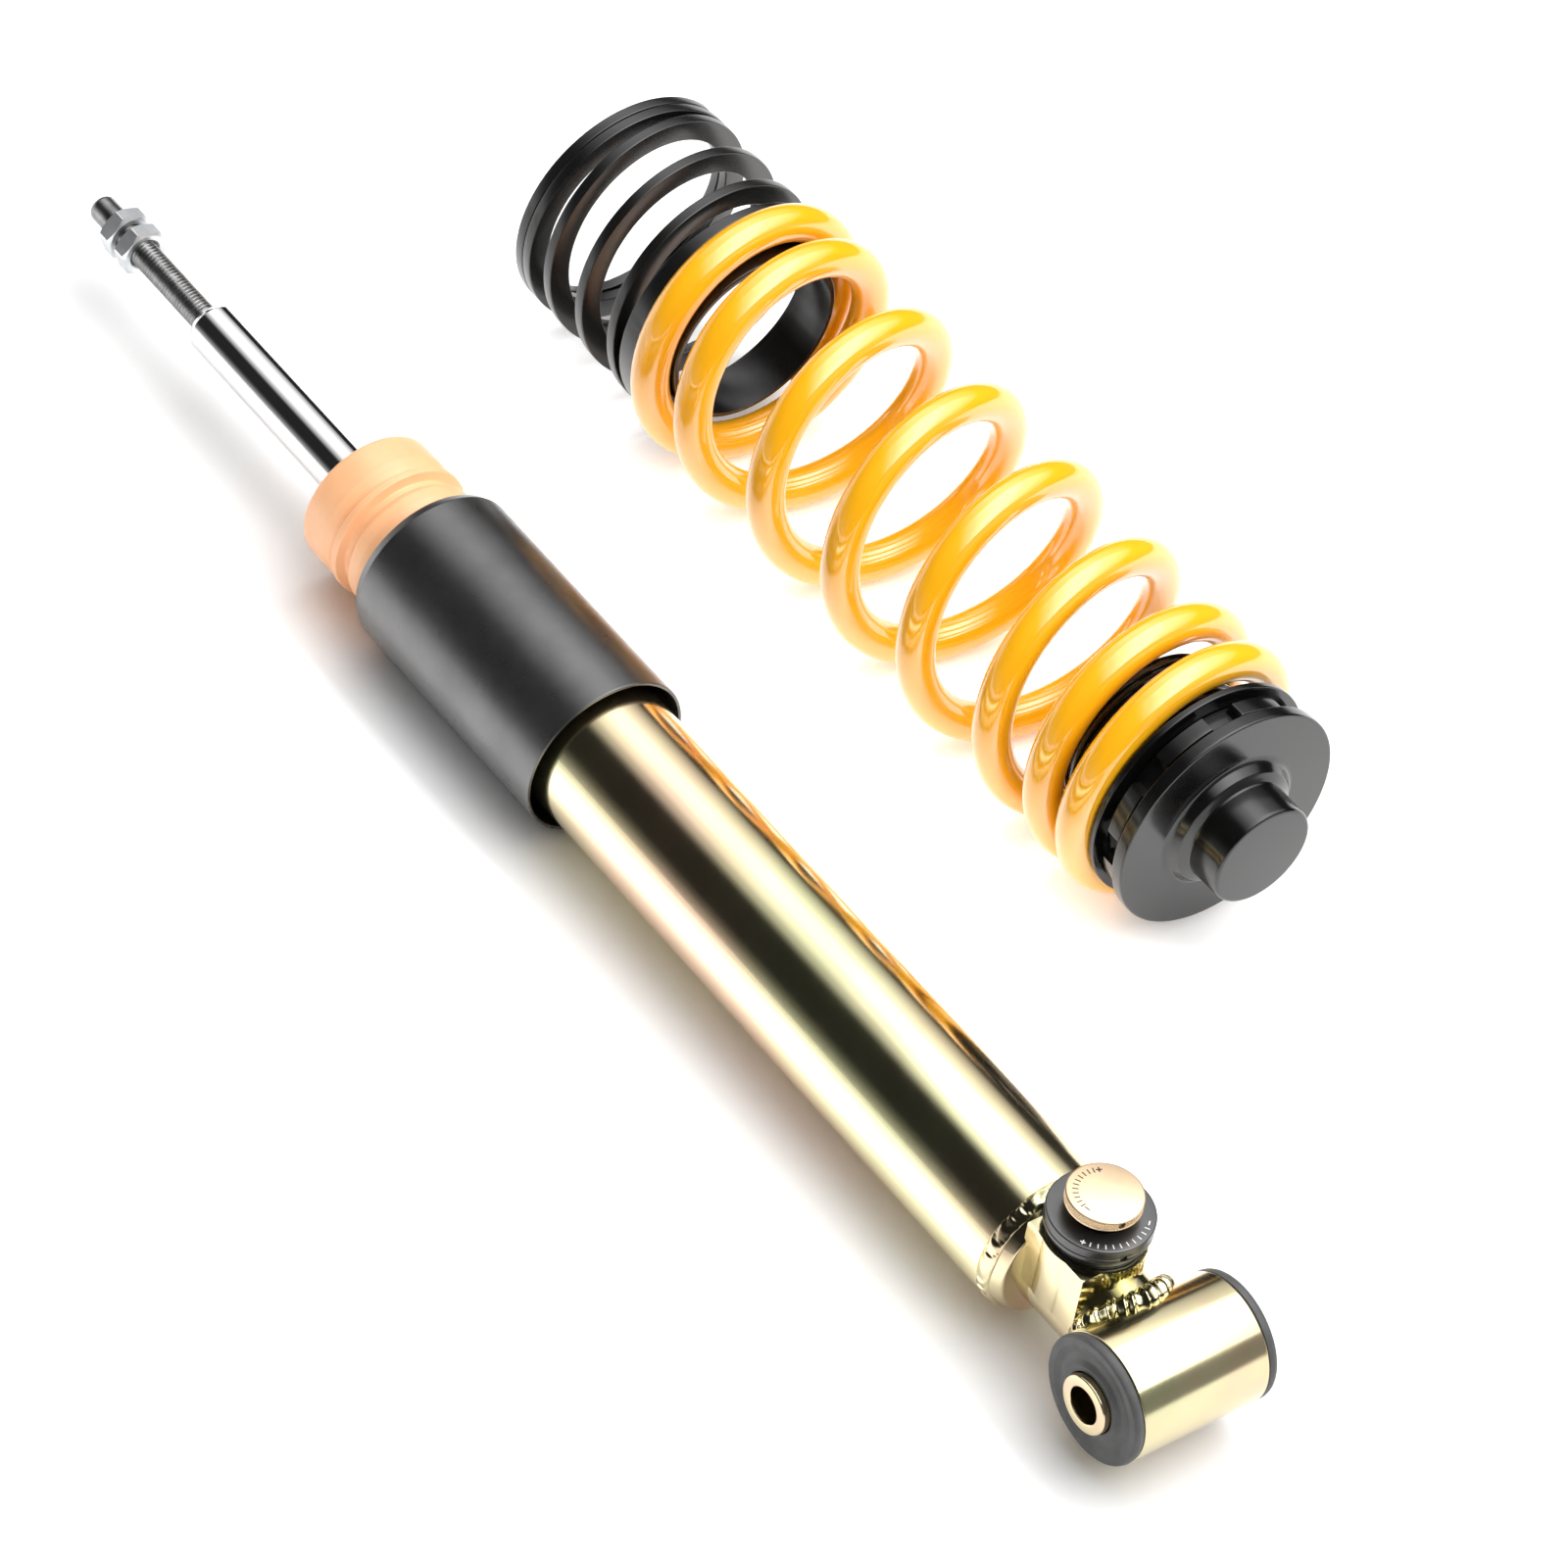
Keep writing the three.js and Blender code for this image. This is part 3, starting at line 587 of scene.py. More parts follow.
block = piece("valve_block_body", *prism(half_block(-1), BLOCK_START, BLOCK_END),
              GOLD_FORGED_SHADED, "damper_body", "gold_zinc", ["valve_block"])
merge(block, prism(half_block(1), BLOCK_START, KNOB_X),
      cylinder(0, BLOCK_TOP, SEAT_RIM_R, "z", KNOB_AXIS))
cut(block, cylinder(BLOCK_START - CUT_PAST, BLOCK_START, TUBE_R + 5, "x", EYE),
    cylinder(SEAT_FLOOR, BLOCK_TOP + CUT_PAST, HOUSING_R + 0.25, "z", KNOB_AXIS))
soften(block, 0.45)

lathe("eye_neck", rounded([
    (BLOCK_START, 0), (BLOCK_START, NECK_R), (-6, NECK_R), (-6, 0),
]), GOLD_FORGED_SHADED, "damper_body", "gold_zinc")

lathe("eye_tube_body", rounded([
    (-EYE_HALF, EYE_R - 3), (-EYE_HALF, EYE_R, 0.5), (EYE_HALF, EYE_R, 0.5), (EYE_HALF, EYE_R - 3),
]), GOLD_EYE_SHADED, "damper_body", "gold_zinc", ["eye_tube"], axis="y", segments=144)


def eye_weld():
    """The bead that joins the neck to the eye, along the curve where the two cylinders meet."""
    count, ripples, sides = 480, 40, 20
    reach = NECK_R + 0.5
    points = []
    for i in range(count):
        turn = TURN * i / count
        z = reach * math.sin(turn)
        points.append(Vector((-math.sqrt(EYE_R ** 2 - z * z) - 0.4, reach * math.cos(turn), z)))

    def bead_radius(i, side):
        turn = TURN * i / count
        width = 2.5 + 1.1 * max(0.0, math.sin(turn)) ** 2
        uneven = 0.2 * math.sin(9 * turn) + 0.15 * math.sin(23 * turn + 1)
        phase = (ripples * i / count + 0.16 * side + uneven) % 1.0
        return width * (0.82 + 0.34 * min(1.0, 1.5 * (1 - phase)) * min(1.0, 5 * phase))

    return sweep(points, bead_radius, sides, EYE)


piece("eye_weld_bead", *eye_weld(), GOLD_FORGED_SHADED, "damper_body", "gold_zinc", sharp=SOFT)

RUBBER_HALF = along("bush_rubber", 1)[1]
SLEEVE_HALF = along("bush_inner_sleeve", 1)[1]
SLEEVE_R = (along("bush_inner_sleeve", 2)[1] - along("bush_inner_sleeve", 2)[0]) / 2
SLEEVE_BORE_R = 6.1


def mirrored(half):
    """A profile across a middle plane, from the half on the positive side, inner end first."""
    return [(-p[0], *p[1:]) for p in reversed(half)] + list(half)


lathe("bush_rubber_body", rounded(mirrored([
    (EYE_HALF + 0.3, 15.9), (EYE_HALF + 0.3, EYE_R - 0.15, 0.3), (EYE_HALF + 1.9, EYE_R, 1.0),
    (RUBBER_HALF, EYE_R - 0.5, 1.3), (RUBBER_HALF - 0.1, EYE_R - 3.2, 1.2),
    (RUBBER_HALF - 0.9, EYE_R - 5.5, 2.0), (RUBBER_HALF - 0.6, SLEEVE_R + 3.6, 1.6),
    (RUBBER_HALF + 0.7, SLEEVE_R + 2.0, 0.9), (RUBBER_HALF + 0.7, SLEEVE_R + 0.3, 0.3),
    (RUBBER_HALF - 6, SLEEVE_R + 0.15),
]), steps=4), RUBBER, "damper_body", "rubber", ["bush_rubber"], axis="y", segments=128)

lathe("bush_sleeve_body", rounded(mirrored([
    (SLEEVE_HALF - 4, SLEEVE_R), (SLEEVE_HALF, SLEEVE_R, 0.7), (SLEEVE_HALF, SLEEVE_BORE_R, 0.5),
    (SLEEVE_HALF - 4, SLEEVE_BORE_R),
])), GOLD_EYE_SHADED, "damper_body", "gold_zinc", ["bush_inner_sleeve"], axis="y", segments=96)

# ------------------------------------------------------------------ damper: adjusters
RING_BASE, RING_TOP = along("high_speed_ring", 2)
RING_R = across("high_speed_ring")
KNOB_BASE, KNOB_TOP = along("low_speed_knob", 2)
KNOB_R = across("low_speed_knob")
SCREW_TURN = math.radians(-12)
SCREW_R = 1.15
SCREW_DEPTH = 3.2
HOUSING_BORE = 4.5
HOUSING_STEM_R = 8.5
HOUSING_FOOT = SEAT_FLOOR + 0.3
HOUSING_GROOVE = 22.6
GROOVE_DEPTH = 0.35
RING_BORE = 8.8
RING_GROOVE = RING_BASE + 1.6

lathe("adjuster_housing_body", rounded([
    (HOUSING_FOOT, HOUSING_BORE), (HOUSING_FOOT, HOUSING_R - 0.8, 0.3),
    (HOUSING_FOOT + 0.9, HOUSING_R, 0.3), (HOUSING_GROOVE, HOUSING_R, 0.2),
    (HOUSING_GROOVE + 0.1, HOUSING_R - GROOVE_DEPTH, 0.1),
    (HOUSING_GROOVE + 0.6, HOUSING_R - GROOVE_DEPTH, 0.1), (HOUSING_GROOVE + 0.7, HOUSING_R, 0.2),
    (RING_BASE - 0.25, HOUSING_R, 0.4), (RING_BASE - 0.25, HOUSING_STEM_R),
    (KNOB_BASE - 0.3, HOUSING_STEM_R, 0.4), (KNOB_BASE - 0.3, HOUSING_BORE),
]), KNOB_BLACK, "damper_body", "black_anodised", ["adjuster_housing"], axis="z",
    origin=KNOB_AXIS)


def radial_hole(height, rim):
    """A short hole that runs in from a knob's rim."""
    start, end = rim - SCREW_DEPTH, rim + 2
    vertices, faces = turned([(start, 0), (start, SCREW_R), (end, SCREW_R), (end, 0)],
                             "x", Vector((0, 0, 0)), 32)
    turn = Matrix.Rotation(SCREW_TURN, 4, "Z")
    lift = KNOB_AXIS + Vector((0, 0, height)) * MM
    return [lift + turn @ v for v in vertices], faces


ring = lathe("high_speed_ring_body", rounded([
    (RING_BASE, RING_BORE), (RING_BASE, RING_R, 0.5), (RING_GROOVE, RING_R, 0.15),
    (RING_GROOVE + 0.15, RING_R - 0.25, 0.1), (RING_GROOVE + 0.35, RING_R - 0.25, 0.1),
    (RING_GROOVE + 0.5, RING_R, 0.15), (RING_TOP, RING_R, 0.7), (RING_TOP, RING_BORE + 0.8, 0.3),
    (RING_TOP - 0.5, RING_BORE),
]), KNOB_BLACK, "high_speed_adjuster", "black_anodised", ["high_speed_ring"], axis="z",
    origin=KNOB_AXIS)
cut(ring, radial_hole((RING_BASE + RING_TOP) / 2 - 1, RING_R))

KNURLS = 84
KNURL_STEPS = 8
KNURL_DEPTH = 0.34
KNURL_SLANT = 3.1


def knurl(a, r, angle):
    """A diamond knurl on the rim, fading out at both edges."""
    if r < KNOB_R - 0.35:
        return a, r
    height = (a - KNOB_BASE) / (KNOB_TOP - KNOB_BASE)
    fade = max(0.0, min(1.0, 5 * height - 0.5, 4.5 - 5 * height))
    slant = KNURL_SLANT * height
    one = abs(((angle / TURN * KNURLS + slant) % 1.0) * 2 - 1)
    other = abs(((angle / TURN * KNURLS - slant) % 1.0) * 2 - 1)
    return a, r - KNURL_DEPTH * fade * max(one, other) ** 2


rim = [(KNOB_BASE + 0.3 + (KNOB_TOP - KNOB_BASE - 0.6) * k / 18, KNOB_R) for k in range(19)]
low_knob = lathe("low_speed_knob_body", [
    (KNOB_BASE, 0), (KNOB_BASE, KNOB_R - 0.5), *rim, (KNOB_TOP - 0.1, KNOB_R - 0.25),
    (KNOB_TOP, KNOB_R - 0.6), (KNOB_TOP, 0),
], KNOB_GOLD, "low_speed_adjuster", "gold_zinc", ["low_speed_knob"], axis="z",
    origin=KNOB_AXIS, segments=KNURLS * KNURL_STEPS, shape=knurl, sharp=50)
cut(low_knob, radial_hole((KNOB_BASE + KNOB_TOP) / 2, KNOB_R))


def plate(outline, height, thickness):
    """Vertices and faces of a thin plate on a knob, from an outline round its axis."""
    size = len(outline)
    levels = (height, height + thickness)
    vertices = [KNOB_AXIS + Vector((x, y, z)) * MM for z in levels for x, y in outline]
    faces = [(k, (k + 1) % size, size + (k + 1) % size, size + k) for k in range(size)]
    return vertices, faces + [tuple(range(size)), tuple(range(size, 2 * size))]


def bar(radius, turn, length, width, slant=0.0):
    """Outline of a short bar whose middle lies at a radius and angle, slanted from its radius."""
    middle = Vector((radius * math.cos(turn), radius * math.sin(turn)))
    out = Vector((math.cos(turn + slant), math.sin(turn + slant)))
    side = Vector((-out.y, out.x))
    return [tuple(middle + out * a * length / 2 + side * b * width / 2)
            for a, b in ((-1, -1), (1, -1), (1, 1), (-1, 1))]


def joined(*solids):
    """Several (vertices, faces) solids as one."""
    vertices, faces = [], []
    for more_vertices, more_faces in solids:
        base = len(vertices)
        vertices += more_vertices
        faces += [tuple(i + base for i in face) for face in more_faces]
    return vertices, faces


MARK_THICK = 0.03


def dial_marks(radius, height, first, last, count, size):
    """A plus at one end and a minus at the other of an arc of click marks."""
    tick_width, sign_width = size * 0.2, size * 0.24
    marks = []
    for k in range(1, count - 1):
        turn = math.radians(first + (last - first) * k / (count - 1))
        marks.append(plate(bar(radius, turn, size, tick_width), height, MARK_THICK))
    plus, minus = math.radians(first), math.radians(last)
    upright = bar(radius, plus, size, sign_width)
    crossing = bar(radius, plus, size, sign_width, math.pi / 2)
    dash = bar(radius, minus, size, sign_width, math.pi / 2)
    marks.append(plate(upright, height, MARK_THICK))
    marks.append(plate(crossing, height, MARK_THICK + 0.005))
    marks.append(plate(dash, height, MARK_THICK))
    return joined(*marks)


piece("low_speed_marks", *dial_marks(9.0, KNOB_TOP - 0.01, -205, -75, 13, 1.9), INK,
      "low_speed_adjuster", "gold_zinc")
piece("high_speed_marks", *dial_marks(14.6, RING_TOP - 0.01, -60, 40, 12, 1.7), PAINT,
      "high_speed_adjuster", "black_anodised")

# ------------------------------------------------------------------ damper: rod, stud and nuts
ROD_TIP, ROD_END = along("piston_rod")
ROD_R = 9.0
STUD_R = 4.9
SHOULDER = -517.5
PIN_BORE = 3.0
ROD_STEM = 26.0
ROD_STEM_R = 6.0
THREAD_PITCH = 1.5
THREAD_DEPTH = 0.8
THREAD_STEPS = 10
THREAD_TOP, THREAD_FOOT = -573.5, -519.2


def thread(a, r, angle):
    """A rolled thread on the stud, running out at both ends."""
    if abs(r - STUD_R) > 0.01 or not THREAD_TOP < a < THREAD_FOOT:
        return a, r
    phase = (a / THREAD_PITCH - angle / TURN) % 1.0
    groove = min(1.0, 1.35 * (1 - abs(phase * 2 - 1)))
    fade = min(1.0, (a - THREAD_TOP) / 2, (THREAD_FOOT - a) / 1.5)
    return a, r - THREAD_DEPTH * fade * (1 - groove)


stud = [(ROD_TIP, PIN_BORE), (ROD_TIP, STUD_R - 1.3), (ROD_TIP + 0.5, STUD_R - 0.6),
        (ROD_TIP + 1.2, STUD_R - 0.15), (ROD_TIP + 2.0, STUD_R)]
step_count = int((THREAD_FOOT - THREAD_TOP) / THREAD_PITCH * THREAD_STEPS)
for step in range(step_count + 1):
    stud.append((THREAD_TOP + (THREAD_FOOT - THREAD_TOP) * step / step_count, STUD_R))
stud += [(SHOULDER + 0.2, STUD_R - 0.1), (SHOULDER + 0.2, PIN_BORE)]
lathe("rod_stud", stud, STUD_STEEL, "rod", "dark_steel", segments=48, shape=thread, sharp=SOFT)

lathe("rod_body", rounded([
    (SHOULDER, STUD_R - 0.4), (SHOULDER, ROD_R - 1.0, 0.35), (SHOULDER + 2.0, ROD_R, 0.8),
    (ROD_END - ROD_STEM, ROD_R, 0.3), (ROD_END - ROD_STEM, ROD_STEM_R), (ROD_END, ROD_STEM_R),
    (ROD_END, PIN_BORE), (SHOULDER + 3, PIN_BORE),
]), CHROME, "rod", "chrome", ["piston_rod"], segments=128)

NUT_FLATS = 16.0
NUT_TURN = math.radians(50)
NUT_CHAMFER = math.radians(32)
NUT_FACE_R = NUT_FLATS / 2 - 0.35
NUT_CORNER_R = NUT_FLATS / 2 / math.cos(TURN / 12) - 0.12
NUT_BORE = STUD_R + 0.12
NUT_SINK = 0.9


def hex_nut(name, node):
    """A hexagon nut with both faces turned to a chamfer and the bore countersunk."""
    start, end = along(node)
    segments = 180
    vertices = []
    for i in range(segments):
        angle = TURN * i / segments
        off_flat = (angle - NUT_TURN) % (TURN / 6) - TURN / 12
        side = min(NUT_FLATS / 2 / math.cos(off_flat), NUT_CORNER_R)
        drop = max(0.05, (side - NUT_FACE_R) * math.tan(NUT_CHAMFER))
        profile = (
            (start + NUT_SINK, NUT_BORE), (start, NUT_BORE + NUT_SINK), (start, NUT_FACE_R),
            (start + drop, side), (end - drop, side), (end, NUT_FACE_R),
            (end, NUT_BORE + NUT_SINK), (end - NUT_SINK, NUT_BORE),
        )
        vertices += [EYE + Vector(PLACES["x"](a, r, angle)) * MM for a, r in profile]
    size = len(profile)
    faces = []
    for i in range(segments):
        here, there = i * size, (i + 1) % segments * size
        for k in range(size):
            faces.append((here + k, here + (k + 1) % size, there + (k + 1) % size, there + k))
    piece(name, vertices, faces, ZINC, "rod", "zinc", [node], sharp=18)


hex_nut("upper_nut_body", "upper_nut")
hex_nut("lower_nut_body", "lower_nut")

# ------------------------------------------------------------------ damper: bump stop and cover
STOP_TOP, STOP_END = along("bump_stop")
STOP_R = 25.0
STOP_BORE = 9.45
COVER_WALL = 1.2
COVER_TOP, COVER_END = along("dust_cover")
COVER_R = across("dust_cover")

stop = lathe("bump_stop_foam", rounded([
    (STOP_TOP, STOP_BORE), (STOP_TOP, STOP_BORE + 0.75, 0.5),
    (STOP_TOP, STOP_R, 2.2), (STOP_TOP + 12.0, STOP_R, 1.5),
    (STOP_TOP + 15.3, STOP_R - 0.7, 0.8), (STOP_TOP + 16.9, STOP_R - 1.7, 0.5),
    (STOP_TOP + 17.9, STOP_R + 0.5, 0.7), (STOP_TOP + 20.3, STOP_R + 0.3, 0.7),
    (STOP_TOP + 21.6, STOP_R - 2.8, 1.0), (STOP_TOP + 23.6, STOP_R - 2.9, 1.0),
    (STOP_TOP + 26.2, STOP_R - 0.6, 2.2), (STOP_TOP + 30.5, STOP_R - 0.9, 3.0),
    (STOP_TOP + 36, STOP_R - 2.7, 3.0), (STOP_END, 17), (STOP_END, STOP_BORE),
], steps=6), FOAM, "bump_stop_body", "foam", ["bump_stop"], segments=144, sharp=SOFT)

lathe("dust_cover_body", rounded([
    (COVER_TOP + 1.0, STOP_R - 2.5), (COVER_TOP + 0.4, COVER_R - 3.4, 0.4),
    (COVER_TOP + 1.0, COVER_R - 1.4, 0.5), (COVER_TOP + 4.2, COVER_R, 1.2),
    (COVER_END, COVER_R, 0.5), (COVER_END, COVER_R - COVER_WALL, 0.5),
    (COVER_TOP + 4, COVER_R - COVER_WALL), (COVER_TOP + 3, STOP_R - 2.5),
]), COVER_BLACK, "bump_stop_body", "black_plastic", ["dust_cover"], segments=160)


# ------------------------------------------------------------------ spring unit: coils
def coil_rise(knots, turn):
    """Distance along the axis at a turn count, from (turn, pitch) knots."""
    rise = 0.0
    for (start, first), (end, last) in zip(knots, knots[1:]):
        if turn <= start:
            break
        reach = min(turn, end)
        there = first + (last - first) * (reach - start) / (end - start)
        rise += (first + there) / 2 * (reach - start)
    return rise


def fitted_pitch(knots_of, length, last_turn):
    """The pitch of the working turns that makes a coil rise by a length."""
    at_zero = coil_rise(knots_of(0), last_turn)
    at_one = coil_rise(knots_of(1), last_turn)
    return (length - at_zero) / (at_one - at_zero)


END_PITCH = 20.0


def spring_knots(pitch):
    """The main spring: flat ends, a close turn at each, and working turns between."""
    return [(0.13, 0), (0.25, END_PITCH), (1.13, END_PITCH), (1.47, pitch),
            (5.35, pitch), (6.3, END_PITCH), (7.31, END_PITCH), (7.45, 0)]


STRIP_THICK = 3.9
STRIP_WIDTH = 8.0
CLOSED_PITCH = STRIP_THICK + 0.3
CLOSED_RAMP = 0.19
CLOSED_FROM = 0.75


def helper_knots(pitch):
    """The helper spring: a flat turn, a step on to a second one, and working turns after it."""
    return [(CLOSED_FROM, 0), (CLOSED_FROM + CLOSED_RAMP, CLOSED_PITCH / CLOSED_RAMP),
            (CLOSED_FROM + 2 * CLOSED_RAMP, 0), (1.5, 0), (2.2, pitch), (4.58, pitch), (4.78, 0)]


def coil(name, section, knots, base, turns, steps, end_taper, surface, slot, node):
    """A section of (out, along) points carried round a coil, and the turn that each point is at.

    The ends are drawn in by end_taper, which rounds the cut wire's edge.
    """
    first, last = turns
    count = round((last - first) * steps)
    mean = sum(p[0] for p in section) / len(section)
    middle = Vector((mean, 0.0))
    size = len(section)
    rings = [(first, 1 - end_taper)] + [(first + i / steps, 1.0) for i in range(count + 1)]
    rings += [(last, 1 - end_taper)]
    vertices = []
    for turn, grow in rings:
        angle = turn * TURN
        rise = base + coil_rise(knots, turn)
        for out, offset in section:
            r, offset = middle + (Vector((out, offset)) - middle) * grow
            vertices.append(SPRING_AXIS + Vector(PLACES["x"](rise + offset, r, angle)) * MM)
    faces = []
    for i in range(len(rings) - 1):
        for k in range(size):
            here, there = i * size, (i + 1) * size
            faces.append((here + k, here + (k + 1) % size, there + (k + 1) % size, there + k))
    faces += [tuple(range(size)), tuple(range((len(rings) - 1) * size, len(rings) * size))]
    obj = piece(name, vertices, faces, surface, None, slot, [node], sharp=35)
    turn_of = [turn for turn, _ in rings for _ in section]
    return obj, turn_of


def carry(obj):
    """Bakes a coil's placement into its mesh.
    """
    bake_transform(obj)


WIRE_R = 6.5
WIRE_SIDES = 28
GAP = 0.3
SPRING_R = across("main_spring") - WIRE_R
SEAT_FACE, SEAT_BACK = along("perch_ring")
ADAPTER_TOP, ADAPTER_END = along("spring_adapter")
ADAPTER_SEAT = ADAPTER_TOP + 2.2

wire = [(SPRING_R + WIRE_R * math.cos(angle), WIRE_R * math.sin(angle))
        for angle in (TURN * k / WIRE_SIDES for k in range(WIRE_SIDES))]
wire_base = ADAPTER_SEAT + GAP + WIRE_R
wire_length = SEAT_FACE - GAP - WIRE_R - wire_base
wire_turns = (-0.15, 7.7)
wire_knots = spring_knots(fitted_pitch(spring_knots, wire_length, wire_turns[1]))
spring, spring_turns = coil("main_spring_coils", wire, wire_knots, wire_base, wire_turns, 80, 0.06,
                            ENAMEL, "spring_paint", "main_spring")
carry(spring)

HELPER_TOP = along("helper_spring")[0]
HELPER_R = across("helper_spring")
STRIP_HALF = STRIP_THICK / 2
STRIP_INNER = HELPER_R - STRIP_WIDTH
STRIP_MIDDLE = (STRIP_INNER + HELPER_R) / 2
STRIP_EDGE = 0.45
strip = rounded([
    (STRIP_MIDDLE, -STRIP_HALF), (HELPER_R, -STRIP_HALF, STRIP_EDGE),
    (HELPER_R, STRIP_HALF, STRIP_EDGE), (STRIP_INNER, STRIP_HALF, STRIP_EDGE),
    (STRIP_INNER, -STRIP_HALF, STRIP_EDGE), (STRIP_MIDDLE - 0.1, -STRIP_HALF),
], steps=3)
helper_base = HELPER_TOP + STRIP_HALF
helper_length = ADAPTER_TOP - GAP - STRIP_HALF - helper_base
helper_turns = (0.13, 5.1)
helper_pitch = fitted_pitch(helper_knots, helper_length, helper_turns[1])
helper, helper_turn_of = coil("helper_spring_coils", strip, helper_knots(helper_pitch),
                              helper_base, helper_turns, 96, 0.05,
                              HELPER_BLACK, "black_plastic", "helper_spring")
carry(helper)

# ------------------------------------------------------------------ spring unit: adapter and perch
ADAPTER_R = across("spring_adapter")
SLEEVE_BORE = 31.0
SLEEVE_OUTER = 33.0
RAMP_FIRST, RAMP_LAST = 0.16, 0.62


def seat_ramp(a, r, angle):
    """The seat climbs with the underside of the spring's end turn, then steps back down."""
    turn = angle / TURN
    if r > SLEEVE_OUTER + 0.5 and a > ADAPTER_TOP + 1.2 and RAMP_FIRST < turn < RAMP_LAST:
        a += coil_rise(spring_knots(2 * END_PITCH), turn) - 0.05
    return a, r


lathe("spring_adapter_body", rounded([
    (ADAPTER_TOP, SLEEVE_BORE), (ADAPTER_TOP, ADAPTER_R, 0.5), (ADAPTER_SEAT, ADAPTER_R, 0.4),
    (ADAPTER_SEAT, SLEEVE_OUTER + 0.6), (ADAPTER_SEAT, SLEEVE_OUTER, 0.3),
    (ADAPTER_END, SLEEVE_OUTER, 1.2), (ADAPTER_END, SLEEVE_BORE, 0.4),
]), ADAPTER_BLACK, "adapter", "black_plastic", ["spring_adapter"], origin=SPRING_AXIS,
    segments=200, shape=seat_ramp, sharp=30)

THREAD_NECK_R = 30.5
SEAT_R = across("perch_ring")
lathe("perch_ring_body", rounded([
    (SEAT_FACE, THREAD_NECK_R + GAP), (SEAT_FACE, SEAT_R, 0.5), (SEAT_BACK, SEAT_R, 0.5),
    (SEAT_BACK, THREAD_NECK_R + GAP),
]), PERCH_BLACK, "spring_seat", "black_plastic", ["perch_ring"], origin=SPRING_AXIS, segments=144)

COLLAR_START, COLLAR_END = along("perch_collar")
COLLAR_R = 39.2
COLLAR_ROOT = 35.6
COLLAR_PADS = 8
PAD_TURN = math.radians(116.7)
PAD_HALF = math.radians(13.6)
PAD_SIDE = math.radians(2.2)
PAD_START = COLLAR_START + 1.7


def collar_pads(a, r, angle):
    """Hook-wrench slots with rounded sides between the raised pads."""
    if r < COLLAR_ROOT + 0.05:
        return a, r
    half_step = math.pi / COLLAR_PADS
    off = abs((angle - PAD_TURN + half_step) % (2 * half_step) - half_step)
    edge = max(0.0, min(1.0, (off - PAD_HALF) / PAD_SIDE))
    ease = edge * edge * (3 - 2 * edge)
    return a, r - (r - COLLAR_ROOT) * ease


lathe("perch_collar_body", rounded([
    (COLLAR_START, THREAD_NECK_R + GAP), (COLLAR_START, COLLAR_ROOT, 0.3),
    (PAD_START, COLLAR_ROOT, 0.5), (PAD_START + 0.05, COLLAR_R, 0.5), (COLLAR_END, COLLAR_R, 0.6),
    (COLLAR_END, COLLAR_ROOT), (COLLAR_END, THREAD_NECK_R + GAP),
]), PERCH_BLACK, "collar", "black_plastic", ["perch_collar"], origin=SPRING_AXIS, segments=720,
    shape=collar_pads, sharp=30)

BASE_TOP, BOSS_END = along("perch_base")
FLANGE_R = across("perch_base")
FLANGE_TOP, FLANGE_FACE = -161.75, -157.0
BOSS_R = 19.0
NECK_PITCH = 3.0
NECK_DEPTH = 1.1
NECK_BORE = 25.0
NECK_THREAD_START = BASE_TOP + 1.2
NECK_THREAD_LENGTH = FLANGE_TOP - 1.4 - BASE_TOP - 1.2
NECK_STEPS = 230


def neck_thread(a, r, angle):
    """The height adjuster's trapezoidal thread."""
    if abs(r - THREAD_NECK_R) > 0.01 or a > FLANGE_TOP - 1.5:
        return a, r
    phase = (a / NECK_PITCH + angle / TURN) % 1.0
    groove = max(0.0, min(1.0, (abs(phase * 2 - 1) - 0.35) * 3.5))
    return a, r - NECK_DEPTH * groove


neck = [(BASE_TOP, NECK_BORE), (BASE_TOP, THREAD_NECK_R - 1.2), (BASE_TOP + 1, THREAD_NECK_R - 0.2)]
for step in range(NECK_STEPS + 1):
    neck.append((NECK_THREAD_START + NECK_THREAD_LENGTH * step / NECK_STEPS, THREAD_NECK_R))
neck += rounded([
    (FLANGE_TOP, THREAD_NECK_R - NECK_DEPTH), (FLANGE_TOP, THREAD_NECK_R - 1),
    (FLANGE_TOP, FLANGE_R, 0.6), (FLANGE_FACE, FLANGE_R, 0.9), (FLANGE_FACE, BOSS_R + 5.5, 3.2),
    (FLANGE_FACE + 3.6, BOSS_R + 3, 1.6), (FLANGE_FACE + 4.4, BOSS_R + 1.6, 1.0),
    (FLANGE_FACE + 5.4, BOSS_R, 1.2), (BOSS_END, BOSS_R - 0.35, 1.5), (BOSS_END, 0),
], steps=8)
lathe("perch_base_body", [(FLANGE_FACE - 2, 0), (FLANGE_FACE - 2, NECK_BORE), *neck], PERCH_BLACK,
      "damper_body", "black_plastic", ["perch_base"], origin=SPRING_AXIS, segments=144,
      shape=neck_thread, sharp=50)

# ------------------------------------------------------------------ CAD nodes kept as they are
CARRIED = {
    "pressure_tube": ZINC,
    "base_valve": DARK_STEEL,
    "bush_outer_sleeve": ZINC,
    "rod_guide": DARK_STEEL,
    "rod_seal": RUBBER,
    "rebound_stop": RUBBER,
    "piston": DARK_STEEL,
    "piston_nut": ZINC,
    "rebound_adjuster_pin": DARK_STEEL,
    "low_speed_spindle": ZINC,
    "low_speed_set_screw": DARK_STEEL,
    "high_speed_set_screw": DARK_STEEL,
}
for node_name, surface in CARRIED.items():
    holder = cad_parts[node_name]
    if not holder.material_slots:
        holder.data.materials.append(surface)
    for entry in holder.material_slots:
        entry.link = "OBJECT"
        entry.material = surface
